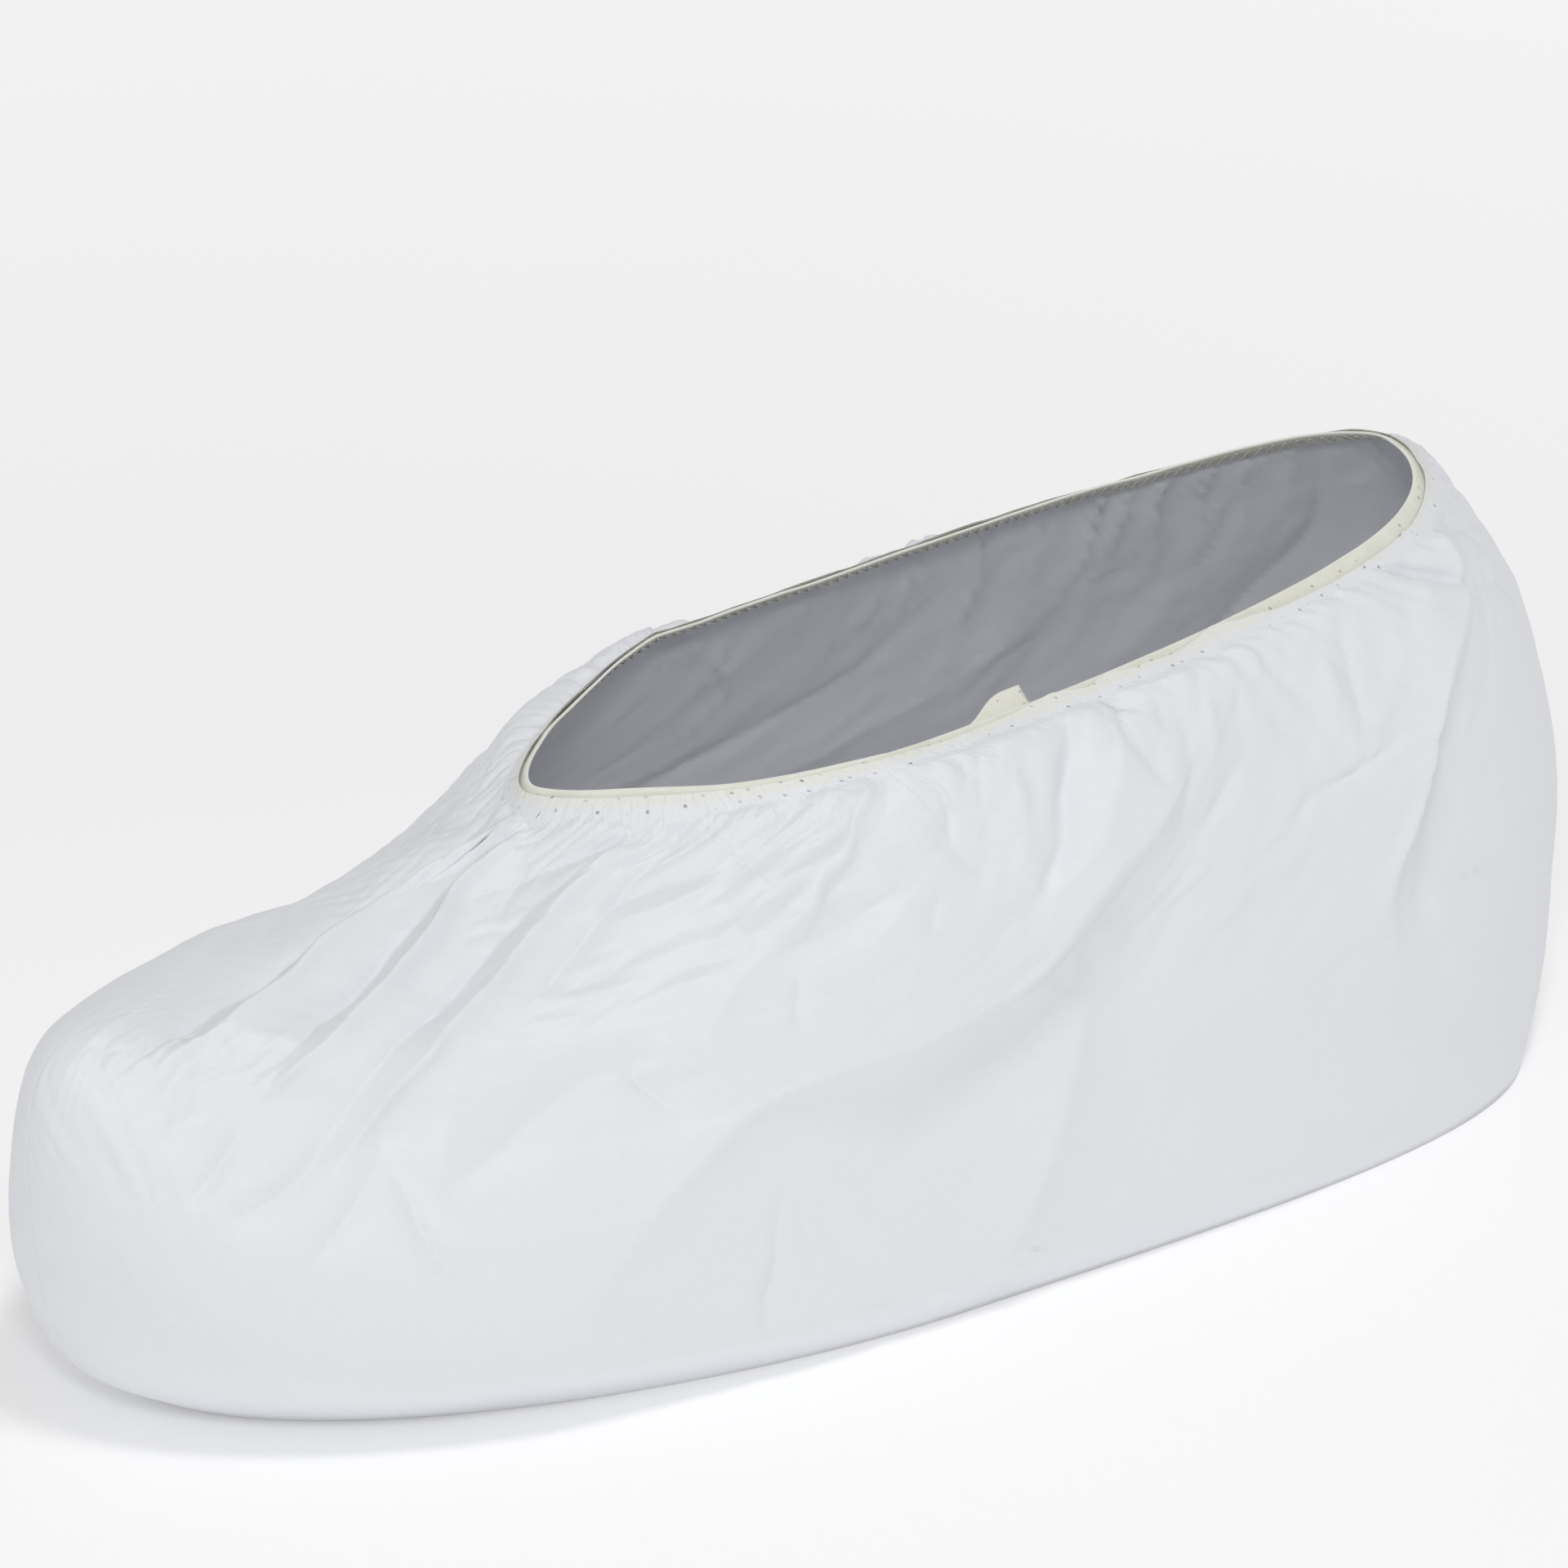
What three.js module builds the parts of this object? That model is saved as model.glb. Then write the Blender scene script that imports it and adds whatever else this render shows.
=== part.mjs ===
// A disposable shoe cover in the shape that it has on a boot: a thin white bag with a boot's outline,
// sewn from a left and a right panel along the toe, the sole and the heel, and gathered at its mouth
// by a flat elastic band whose loose end stands up inside the left rim.
//
// Frame: millimetres, +X towards the toe, +Y towards the wearer's left, +Z up. The origin is on the
// ground, under the middle of the cover.
//
// The wall is lofted down through seven rings, from the rim to the edge of the sole. A place on it is
// an angle in degrees (0 at the toe, 90 at the left side, 180 at the heel) and a drop (0 at the rim,
// 1 at the edge of the sole, 2 at the seam along the middle of the sole).
import * as THREE from 'three';

// ---- driving dimensions ----
const WALL = 1.2; // thickness of the cloth
const GAP = 0.3; // clearance between neighbouring pieces
const BAND_THICKNESS = 0.8;
const BAND_DEPTH = 0.042; // how far down the wall the band reaches, as a drop
const CLOTH_TOP = 0.014; // the cloth's raw edge lies this far below the band's top edge
const GATHER_HEIGHT = 1.5; // how far the cloth puffs out between the gathers at the rim
const GATHER_FADE = 0.07; // the drop over which the gathers die away
const GATHERS = 30; // gathers round the whole rim
const FOLD_ONSET = 0.05; // below the band, the folds grow to their full height over this drop
const FLAT_EDGE = 0.12; // the folds die away over this drop above the edge of the sole
const SOLE_ROUNDING = 0.1; // the inside of the sole is level up to this drop above the edge
const MIDDLE_HOLD = 0.25; // the share of its way to the middle plane that the wall's inside may move
const SEAM_INSET = 0.9; // the sole's middle is this share of the length of its edge

// columns and rows of the mesh of one panel
const PANEL_COLUMNS = 54;
const WALL_ROWS = 18;
const SOLE_ROWS = 4;
const TOE_CROWDING = 1.25; // above 1, the columns stand closer together at the toe

// ---- the rings, from the rim down ----
// Each row says where the ring crosses the toe, the sides and the heel, at which X it is widest, how
// square its front and back halves are (2 is an ellipse), and how far it sways down before that
// widest place and up behind it.
const RING_COLUMNS = [
  'drop', 'toeX', 'midX', 'heelX', 'halfWidth', 'toeZ', 'sideZ', 'heelZ', 'toePower', 'heelPower', 'sway',
];
const RINGS = [
  [0.00,  61.5,    9,   -134,        35,    95,   100,   117,      1.3,       2.9,  0.8],
  [0.08,    70,    0, -141.5,      43.5,    86,  93.5,   113,      1.5,       2.4,  0.6],
  [0.32,   115,    5, -155.5,      51.5,  73.5,    70,  94.5,     1.57,      2.35,    0],
  [0.57,   162,   31,   -165,        56,    71,  49.5,  70.5,     1.45,       2.4,    0],
  [0.74, 167.8,   42, -167.8,        62,  41.5,    31,    47,      1.9,       2.5,    0],
  [0.91,   161,   37, -158.5,      64.5,  11.5,    11,    12,     2.05,         3,    0],
  [1.00,   146,   11,   -148,      60.5,     0,     0,     0,      1.8,       3.8,    0],
].map((row) => Object.fromEntries(RING_COLUMNS.map((name, i) => [name, row[i]])));

// ---- the folds: height out of the wall and half-width in millimetres, and the [angle, drop] points
// that each one runs through ----
const FOLD_COLUMNS = ['name', 'height', 'width', 'path'];
const FOLDS = [
  ['tip valley', -3.2, 5.5, [[-6, 0.05], [-6, 0.2], [3, 0.33], [15, 0.6]]],
  ['second valley', -3.0, 5, [[3, 0.05], [9, 0.2], [21, 0.4], [28, 0.68]]],
  ['third valley', -2.4, 5, [[16, 0.06], [22, 0.25], [33, 0.45], [35, 0.68]]],
  ['fourth valley', -2.2, 7, [[38, 0.05], [32, 0.15], [33, 0.32], [43, 0.55]]],
  ['right tip valley', -2.6, 5, [[-14, 0.05], [-20, 0.14], [-29, 0.28], [-36, 0.45]]],
  ['right second valley', -2.4, 6, [[-34, 0.05], [-37, 0.2], [-42, 0.4], [-46, 0.6]]],
  ['right rim puff', 5, 7, [[-28, 0.08], [-55, 0.075], [-90, 0.08]]],
  ['tip ridge', 2.2, 5, [[-1, 0.1], [4, 0.25], [15, 0.42], [22, 0.6]]],
  ['second ridge', 2.0, 5, [[10, 0.08], [18, 0.25], [28, 0.45], [31, 0.62]]],
  ['third ridge', 1.8, 6, [[26, 0.08], [27, 0.25], [38, 0.48]]],
  ['swoop', 3.0, 13, [[109, 0.12], [99, 0.27], [93, 0.4], [80, 0.52], [70, 0.66]]],
  ['swoop hollow', -3.0, 13, [[112, 0.3], [101, 0.48], [87, 0.62], [76, 0.76]]],
  ['standing ridge', 2.2, 9, [[105, 0.4], [105, 0.6], [102, 0.84], [97, 0.94]]],
  ['side dent', -2.2, 9, [[96, 0.06], [92, 0.2], [88, 0.34]]],
  ['rim dent', -2.4, 8, [[107, 0.02], [105, 0.22]]],
  ['side puff', 2.2, 11, [[84, 0.12], [80, 0.3], [70, 0.42]]],
  ['heel ridge', 3.0, 9, [[154, 0.1], [147, 0.27], [138, 0.36], [133, 0.5], [129, 0.66]]],
  ['heel hollow', -2.6, 10, [[150, 0.38], [143, 0.52], [138, 0.72]]],
  ['heel pleat', -2.0, 5, [[133, 0.04], [141, 0.12], [149, 0.26]]],
  ['right swoop', 3.0, 12, [[-118, 0.12], [-108, 0.3], [-96, 0.45], [-84, 0.62]]],
  ['right hollow', -3.0, 12, [[-124, 0.3], [-114, 0.48], [-102, 0.66]]],
  ['right side dent', -2.2, 9, [[-72, 0.06], [-68, 0.24], [-62, 0.4]]],
  ['right side puff', 2.6, 9, [[-52, 0.08], [-55, 0.24], [-60, 0.4]]],
  ['right heel ridge', 2.6, 9, [[-156, 0.12], [-150, 0.3], [-141, 0.46], [-136, 0.66]]],
  ['right heel hollow', -2.4, 9, [[-162, 0.2], [-156, 0.4], [-148, 0.62]]],
].map((row) => Object.fromEntries(FOLD_COLUMNS.map((name, i) => [name, row[i]])));
const FOLD_STEPS = 6; // straight pieces between two points of a fold's path
const FOLD_END = 0.1; // a fold's end keeps the height that a half sine wave has at this share of it
const FOLD_BLUNTNESS = 0.7; // below 1, a fold keeps its height closer to its ends
const TOE_PEAK = { height: 2.6, angle: 9, drop: 0.57, reach: 0.07 }; // the panels' corner at the toe

const toRadians = THREE.MathUtils.degToRad;

// Point of one ring at an angle: half a superellipse in front of midX and half behind it.
function ringPoint(ring, angle) {
  const cos = Math.cos(toRadians(angle));
  const sin = Math.sin(toRadians(angle));
  const front = cos >= 0;
  const power = front ? ring.toePower : ring.heelPower;
  const stretch = (Math.abs(cos) ** power + Math.abs(sin) ** power) ** (-1 / power);
  const reach = front ? ring.toeX - ring.midX : ring.midX - ring.heelX;
  const endZ = front ? ring.toeZ : ring.heelZ;
  const wave = 2 * cos * Math.abs(sin) * (4 * cos * cos - 3);
  return new THREE.Vector3(
    ring.midX + reach * cos * stretch,
    ring.halfWidth * sin * stretch,
    ring.sideZ + (endZ - ring.sideZ) * cos * cos + ring.sway * wave,
  );
}

// Slope of the wall's curve at ring number k, for a smooth curve through all the rings.
function ringSlope(points, k) {
  const before = Math.max(k - 1, 0);
  const after = Math.min(k + 1, RINGS.length - 1);
  const span = RINGS[after].drop - RINGS[before].drop;
  return points[after].clone().sub(points[before]).divideScalar(span);
}

// Point of the smooth wall, before its folds, at an angle and a drop.
function smoothPoint(angle, drop) {
  const points = RINGS.map((ring) => ringPoint(ring, angle));
  if (drop > 1) {
    const edge = points[points.length - 1];
    const midX = RINGS[RINGS.length - 1].midX;
    const middle = new THREE.Vector3(midX + (edge.x - midX) * SEAM_INSET, 0, 0);
    return edge.clone().lerp(middle, drop - 1);
  }
  let k = RINGS.length - 2;
  while (k > 0 && RINGS[k].drop > drop) k -= 1;
  const span = RINGS[k + 1].drop - RINGS[k].drop;
  const u = (drop - RINGS[k].drop) / span;
  return points[k].clone().multiplyScalar(2 * u ** 3 - 3 * u ** 2 + 1)
    .addScaledVector(ringSlope(points, k), span * (u ** 3 - 2 * u ** 2 + u))
    .addScaledVector(points[k + 1], 3 * u ** 2 - 2 * u ** 3)
    .addScaledVector(ringSlope(points, k + 1), span * (u ** 3 - u ** 2));
}

// Outward direction of the smooth wall.
const PROBE = { angle: 0.5, drop: 0.004 }; // how far from a point its outward direction is felt
function outward(angle, drop) {
  const high = Math.max(drop - PROBE.drop, 0);
  const low = Math.min(drop + PROBE.drop, 1);
  const around = smoothPoint(angle + PROBE.angle, drop).sub(smoothPoint(angle - PROBE.angle, drop));
  const down = smoothPoint(angle, low).sub(smoothPoint(angle, high));
  return down.cross(around).normalize();
}

// A fold's path as points on the smooth wall, on a curve through its [angle, drop] points.
function foldRoute(fold) {
  const chart = new THREE.SplineCurve(fold.path.map(([angle, drop]) => new THREE.Vector2(angle, drop)));
  const pieces = FOLD_STEPS * (fold.path.length - 1);
  return chart.getPoints(pieces).map((place) => smoothPoint(place.x, place.y));
}
const ROUTES = FOLDS.map((fold) => ({ ...fold, route: foldRoute(fold) }));

// Height that one fold gives the wall at a point: round across the fold and fading at both its ends.
function foldHeight(fold, point) {
  const line = new THREE.Line3();
  const nearest = new THREE.Vector3();
  let best = Infinity;
  let along = 0;
  const pieces = fold.route.length - 1;
  for (let i = 0; i < pieces; i += 1) {
    line.set(fold.route[i], fold.route[i + 1]);
    const part = line.closestPointToPointParameter(point, true);
    const distance = line.at(part, nearest).distanceTo(point);
    if (distance < best) {
      best = distance;
      along = (i + part) / pieces;
    }
  }
  const wave = Math.sin(Math.PI * (FOLD_END + along * (1 - 2 * FOLD_END)));
  const fade = wave ** FOLD_BLUNTNESS;
  return fold.height * fade * Math.exp(-((best / fold.width) ** 2));
}

// Height of the pointed corner that the two panels make at the top of the toe.
function toePeakHeight(angle, drop) {
  const across = angle / TOE_PEAK.angle;
  const down = (drop - TOE_PEAK.drop) / TOE_PEAK.reach;
  return TOE_PEAK.height * Math.exp(-Math.abs(across)) * Math.exp(-(down ** 2));
}

// Height of the puffs between the gathers, which only push the cloth away from the band.
function gatherHeight(angle, drop) {
  const wave = 0.5 - 0.5 * Math.cos(toRadians(angle * GATHERS));
  return GATHER_HEIGHT * wave * Math.exp(-drop / GATHER_FADE);
}

// Point of the wall with its folds, moved inwards by a depth. Close to the middle plane the move
// across it is held back, so that the pointed front of the mouth doesn't fold over itself.
function wallPoint(angle, drop, depth, folded) {
  const point = smoothPoint(angle, drop);
  if (drop >= 1) {
    point.z = depth;
    return point;
  }
  const normal = outward(angle, drop);
  let height = -depth;
  if (folded) {
    const ground = Math.min((1 - drop) / FLAT_EDGE, 1);
    const rim = THREE.MathUtils.clamp((drop - BAND_DEPTH) / FOLD_ONSET, 0, 1);
    const heights = ROUTES.map((fold) => foldHeight(fold, point));
    const total = heights.reduce((sum, value) => sum + value, 0);
    height += ground * (rim * total + toePeakHeight(angle, drop) + gatherHeight(angle, drop));
  }
  const sideways = Math.abs(normal.y * height);
  const limit = height < 0 ? Math.abs(point.y) * MIDDLE_HOLD * (1 + depth / WALL) : sideways;
  const y = point.y + Math.sign(normal.y * height) * Math.min(sideways, limit);
  point.addScaledVector(normal, height);
  point.y = y;
  point.z = Math.max(point.z, depth * Math.min(drop / (1 - SOLE_ROUNDING), 1));
  return point;
}

// ---- meshes ----
// A closed solid between an outer and an inner grid of points with the same rows and columns.
function slab(outer, inner, closedRound) {
  const rows = outer.length;
  const columns = outer[0].length;
  const positions = [...outer.flat(), ...inner.flat()].flatMap((point) => point.toArray());
  const outerAt = (row, column) => row * columns + (column % columns);
  const innerAt = (row, column) => rows * columns + outerAt(row, column);
  const faces = [];
  const quad = (a, b, c, d) => faces.push(a, b, c, a, c, d);
  const lastColumn = closedRound ? columns : columns - 1;
  for (let row = 0; row < rows - 1; row += 1) {
    for (let column = 0; column < lastColumn; column += 1) {
      const under = row + 1;
      const next = column + 1;
      quad(outerAt(row, column), outerAt(under, column), outerAt(under, next), outerAt(row, next));
      quad(innerAt(row, column), innerAt(row, next), innerAt(under, next), innerAt(under, column));
    }
  }
  const bottom = rows - 1;
  for (let column = 0; column < lastColumn; column += 1) {
    const next = column + 1;
    quad(outerAt(0, column), outerAt(0, next), innerAt(0, next), innerAt(0, column));
    quad(outerAt(bottom, column), innerAt(bottom, column), innerAt(bottom, next), outerAt(bottom, next));
  }
  if (!closedRound) {
    const end = columns - 1;
    for (let row = 0; row < bottom; row += 1) {
      const under = row + 1;
      quad(outerAt(row, 0), innerAt(row, 0), innerAt(under, 0), outerAt(under, 0));
      quad(outerAt(row, end), outerAt(under, end), innerAt(under, end), innerAt(row, end));
    }
  }
  const geometry = new THREE.BufferGeometry();
  geometry.setAttribute('position', new THREE.Float32BufferAttribute(positions, 3));
  geometry.setIndex(faces);
  geometry.computeVertexNormals();
  return geometry;
}

// Turns every face of a geometry over, for a solid that was made as a mirror image.
function turnedOver(geometry) {
  const index = geometry.getIndex().array;
  for (let i = 0; i < index.length; i += 3) {
    [index[i], index[i + 1]] = [index[i + 1], index[i]];
  }
  geometry.computeVertexNormals();
  return geometry;
}

// Drops of a panel's rows, from the cloth's raw edge to the seam under the sole.
function panelDrops() {
  const below = (row) => BAND_DEPTH + (1 - BAND_DEPTH) * (row / WALL_ROWS);
  const wall = Array.from({ length: WALL_ROWS }, (_, row) => below(row));
  const sole = Array.from({ length: SOLE_ROWS + 1 }, (_, row) => 1 + row / SOLE_ROWS);
  return [CLOTH_TOP, ...wall, ...sole];
}

// Angles of a panel's columns, without their sign, from the toe to the heel.
function panelAngles() {
  const angleOf = (column) => 180 * (column / PANEL_COLUMNS) ** TOE_CROWDING;
  return Array.from({ length: PANEL_COLUMNS + 1 }, (_, column) => angleOf(column));
}

// One panel: side is 1 for the left half of the cover and -1 for the right half.
function panel(side) {
  const seam = side * GAP / 2;
  const face = (depth) => panelDrops().map((drop) => (
    panelAngles().map((angle, column) => {
      const point = wallPoint(side * angle, drop, depth, true);
      const onSeam = column === 0 || column === PANEL_COLUMNS || drop === 2;
      point.y = onSeam ? seam : side * Math.max(side * point.y, side * seam) + seam;
      return point;
    })
  ));
  const geometry = slab(face(0), face(WALL), false);
  return side > 0 ? geometry : turnedOver(geometry);
}

// The band: a flat ring against the inside of the cloth's top edge, with its top edge clear of it.
function elasticBand() {
  const left = panelAngles();
  const right = left.slice(1, -1).reverse().map((angle) => -angle);
  const face = (depth) => [0, CLOTH_TOP, BAND_DEPTH].map((drop) => (
    [...left, ...right].map((angle) => wallPoint(angle, drop, depth, false))
  ));
  return slab(face(WALL + GAP), face(WALL + GAP + BAND_THICKNESS), true);
}

// The band's loose end: it lies inside the band at first and climbs above the rim to its cut end.
const LOOSE_END = { from: 91, to: 104.5, rise: 5, climbs: [0.15, 0.95], columns: 8 };
function looseEnd() {
  const near = WALL + 2 * GAP + BAND_THICKNESS;
  const face = (depth) => [0, CLOTH_TOP, BAND_DEPTH].map((drop) => (
    Array.from({ length: LOOSE_END.columns + 1 }, (_, column) => {
      const part = column / LOOSE_END.columns;
      const angle = LOOSE_END.from + (LOOSE_END.to - LOOSE_END.from) * part;
      const upwards = smoothPoint(angle, 0).sub(smoothPoint(angle, BAND_DEPTH)).normalize();
      const rise = LOOSE_END.rise * THREE.MathUtils.smoothstep(part, ...LOOSE_END.climbs);
      return wallPoint(angle, drop, depth, false).addScaledVector(upwards, rise);
    })
  ));
  return slab(face(near), face(near + BAND_THICKNESS), false);
}

// ---- the assembly ----
const cloth = new THREE.MeshStandardMaterial({ color: 0xe6e7ec, roughness: 0.6, metalness: 0 });
const elastic = new THREE.MeshStandardMaterial({ color: 0xe6e7da, roughness: 0.5, metalness: 0 });

const group = new THREE.Group();
group.name = 'shoe_cover';
function add(name, geometry, material) {
  const mesh = new THREE.Mesh(geometry, material);
  mesh.name = name;
  group.add(mesh);
}
add('left_panel', panel(1), cloth);
add('right_panel', panel(-1), cloth.clone());
add('elastic_band', elasticBand(), elastic);
add('elastic_end', looseEnd(), elastic.clone());

export default group;
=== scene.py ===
"""A disposable shoe cover in its worn shape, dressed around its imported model.

Frame: +X towards the toe, +Y towards the wearer's left, +Z up, origin on the ground under the middle.
Sizes are in millimetres and become metres where a mesh is made.

A place on the cloth is an angle in degrees (0 at the toe, 90 at the left side, 180 at the heel, negative
on the right) and a drop (0 at the rim, 1 at the edge of the sole, 2 at the seam under the sole).
"""
import math

import bpy
import numpy as np
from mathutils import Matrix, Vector


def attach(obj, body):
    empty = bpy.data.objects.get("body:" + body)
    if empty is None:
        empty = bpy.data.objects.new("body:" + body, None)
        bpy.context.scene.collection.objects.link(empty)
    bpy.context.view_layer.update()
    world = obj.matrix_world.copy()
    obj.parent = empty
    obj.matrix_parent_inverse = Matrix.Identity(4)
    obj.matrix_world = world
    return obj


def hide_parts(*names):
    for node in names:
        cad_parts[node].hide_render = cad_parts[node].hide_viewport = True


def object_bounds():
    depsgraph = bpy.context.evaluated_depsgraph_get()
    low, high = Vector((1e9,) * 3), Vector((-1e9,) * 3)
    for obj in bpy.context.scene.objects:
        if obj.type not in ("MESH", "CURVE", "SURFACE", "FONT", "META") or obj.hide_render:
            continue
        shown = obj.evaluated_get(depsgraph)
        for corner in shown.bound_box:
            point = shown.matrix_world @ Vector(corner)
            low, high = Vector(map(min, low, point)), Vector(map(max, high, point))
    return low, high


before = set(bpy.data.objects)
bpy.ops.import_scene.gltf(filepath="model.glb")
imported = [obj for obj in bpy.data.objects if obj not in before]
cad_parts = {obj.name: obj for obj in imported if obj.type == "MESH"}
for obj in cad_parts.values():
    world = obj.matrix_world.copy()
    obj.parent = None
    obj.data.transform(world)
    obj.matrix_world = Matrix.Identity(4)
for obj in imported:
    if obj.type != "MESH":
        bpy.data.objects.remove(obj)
CAD_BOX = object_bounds()

# ---- driving dimensions ----
MODEL_LENGTH = 336.06  # length that the tables below give the cover
MM = (CAD_BOX[1][0] - CAD_BOX[0][0]) / MODEL_LENGTH  # metres in one millimetre of the tables

HEM_THICKNESS = 0.25  # the cloth at its raw edge
WALL_THICKNESS = 0.75  # the cloth further down
THICKENING = (7, 22)  # distances below the rim between which it grows from one to the other
BAND_THICKNESS = 0.55
BAND_WIDTH = 5.8
BAND_GAP = 0.06  # least gap between the cloth and the band, and between the band and its loose end
NEEDLE_ROWS = (1.9, 4.4)  # distances of the two rows of stitches below the band's top edge


def table(columns, *rows):
    """Rows of values as dictionaries with named columns."""
    return [dict(zip(columns, row)) for row in rows]


# ---- the smooth shape ----
# Rings from the rim to the edge of the sole: where each crosses the toe, sides and heel, at which X it
# is widest, how square its halves are (2 is an ellipse), and how far it sways near its widest place.
RINGS = table(
    ("drop", "toe_x", "mid_x", "heel_x", "half_width", "toe_z", "side_z", "heel_z", "toe_power",
     "heel_power", "sway"),
    (0.00,  61.5,  9,   -134,   35,   95,  100,  117,  1.3,  2.9, 0.8),
    (0.08,    70,  0, -141.5, 43.5,   86, 93.5,  113,  1.5,  2.4, 0.6),
    (0.32,   115,  5, -155.5, 51.5, 73.5,   70, 94.5, 1.57, 2.35,   0),
    (0.57,   162, 31,   -165,   56,   71, 49.5, 70.5, 1.45,  2.4,   0),
    (0.74, 167.8, 42, -167.8,   62, 41.5,   31,   47,  1.9,  2.5,   0),
    (0.91,   161, 37, -158.5, 64.5, 11.5,   11,   12, 2.05,    3,   0),
    (1.00,   146, 11,   -148, 60.5,    0,    0,    0,  1.8,  3.8,   0),
)
SEAM_INSET = 0.9  # the seam under the sole is this share of the length of the sole's edge
RIDGE_ROUNDING = 0.13  # how softly a ring turns at the toe and the heel, as a share of its half width
TINY = 1e-9  # keeps a length of zero out of a division


def ring_points(ring, angle):
    """Points of one ring: half a superellipse in front of mid_x and half behind it."""
    cos = np.cos(np.radians(angle))
    sin = np.sin(np.radians(angle))
    front = cos >= 0
    power = np.where(front, ring["toe_power"], ring["heel_power"])
    rounded = (sin**2 + RIDGE_ROUNDING**2) ** (power / 2) - RIDGE_ROUNDING**power
    rounded /= (1 + RIDGE_ROUNDING**2) ** (power / 2) - RIDGE_ROUNDING**power
    stretch = (np.abs(cos) ** power + rounded) ** (-1 / power)
    reach = np.where(front, ring["toe_x"] - ring["mid_x"], ring["mid_x"] - ring["heel_x"])
    end_z = np.where(front, ring["toe_z"], ring["heel_z"])
    wave = 2 * cos * np.abs(sin) * (4 * cos**2 - 3)
    height = ring["side_z"] + (end_z - ring["side_z"]) * cos**2 + ring["sway"] * wave
    return np.stack([ring["mid_x"] + reach * cos * stretch, ring["half_width"] * sin * stretch, height], -1)


def smooth_points(angle, drop):
    """Points of the smooth wall, on a curve down through all the rings, and of the flat sole."""
    angle, drop = np.broadcast_arrays(np.asarray(angle, float), np.asarray(drop, float))
    levels = np.array([ring["drop"] for ring in RINGS])
    last = len(levels) - 1
    points = [ring_points(ring, angle) for ring in RINGS]
    slopes = [(points[min(k + 1, last)] - points[max(k - 1, 0)])
              / (levels[min(k + 1, last)] - levels[max(k - 1, 0)]) for k in range(last + 1)]
    result = np.zeros(angle.shape + (3,))
    for k in range(last):
        span = levels[k + 1] - levels[k]
        inside = (drop >= levels[k]) & (drop <= levels[k + 1])
        if k == 0:
            inside |= drop < 0
        u = ((drop[inside] - levels[k]) / span)[:, None]
        result[inside] = (points[k][inside] * (2 * u**3 - 3 * u**2 + 1)
                          + slopes[k][inside] * span * (u**3 - 2 * u**2 + u)
                          + points[k + 1][inside] * (3 * u**2 - 2 * u**3)
                          + slopes[k + 1][inside] * span * (u**3 - u**2))
    sole = drop > 1
    edge = points[last][sole]
    middle = np.zeros_like(edge)
    middle[:, 0] = RINGS[last]["mid_x"] + (edge[:, 0] - RINGS[last]["mid_x"]) * SEAM_INSET
    result[sole] = edge + (middle - edge) * (drop[sole] - 1)[:, None]
    return result


def unit(vectors):
    """The vectors at a length of 1."""
    return vectors / np.maximum(np.linalg.norm(vectors, axis=-1, keepdims=True), TINY)


def dot(first, second):
    """Dot products of two grids of vectors."""
    return np.einsum("ijk,ijk->ij", first, second)


PROBE_ANGLE = 0.5  # how far from a point the wall is felt for its outward direction
PROBE_DROP = 0.004


def outward(angle, drop):
    """Outward directions of the smooth wall."""
    around = smooth_points(angle + PROBE_ANGLE, drop) - smooth_points(angle - PROBE_ANGLE, drop)
    high = np.maximum(drop - PROBE_DROP, 0)
    low = np.minimum(drop + PROBE_DROP, 1)
    return unit(np.cross(smooth_points(angle, low) - smooth_points(angle, high), around))


# ---- lengths along and below the rim ----
RIM_PLACES = 1441  # places round the rim at which its length is measured
RIM_PROBE = 0.01  # drop over which the way down from the rim is measured
RIM_ANGLES = np.linspace(-180, 180, RIM_PLACES)
RIM = smooth_points(RIM_ANGLES, 0)
RIM_STEPS = np.linalg.norm(np.diff(RIM, axis=0), axis=1)
RIM_ALONG = np.concatenate([[0], np.cumsum(RIM_STEPS)])
RIM_LENGTH = RIM_ALONG[-1]
RIM_ALONG = RIM_ALONG - RIM_LENGTH / 2
RIM_FALL = np.linalg.norm(smooth_points(RIM_ANGLES, RIM_PROBE) - RIM, axis=1) / RIM_PROBE


def along_rim(angle):
    """Distance along the rim from the toe, positive on the left."""
    return np.interp(angle, RIM_ANGLES, RIM_ALONG)


def angle_at(along):
    """Angle of a place at that distance along the rim, which may run on past the heel."""
    return np.interp((along + RIM_LENGTH / 2) % RIM_LENGTH - RIM_LENGTH / 2, RIM_ALONG, RIM_ANGLES)


def drop_at(angle, distance):
    """Drop of a place a small distance below the rim."""
    return distance / np.interp(angle, RIM_ANGLES, RIM_FALL)


# ---- noise ----
LATTICE = 32  # cells after which the noise repeats
NOISE_ORIGIN = 7 * LATTICE  # whole repeats, so that the cells that are used have positive numbers


def noise(points, size, seed):
    """Smooth noise, mostly between -0.6 and 0.6, with lumps as wide as size."""
    values = np.random.default_rng(seed).uniform(-1, 1, (LATTICE,) * 3)
    place = points / size + NOISE_ORIGIN
    cell = np.floor(place).astype(int)
    part = place - cell
    part = part**2 * (3 - 2 * part)
    total = np.zeros(points.shape[:-1])
    for corner in np.ndindex(2, 2, 2):
        weight = np.prod(np.where(np.array(corner) == 1, part, 1 - part), axis=-1)
        index = (cell + corner) % LATTICE
        total += weight * values[index[..., 0], index[..., 1], index[..., 2]]
    return total


def lumps(points, *layers):
    """Layers of noise added up, each with its height, size and seed."""
    return sum(height * noise(points, size, seed) for height, size, seed in layers)


def smoothstep(low, high, value):
    """0 up to low and 1 from high on, with a smooth rise between."""
    part = np.clip((value - low) / (high - low), 0, 1)
    return part * part * (3 - 2 * part)


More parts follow.
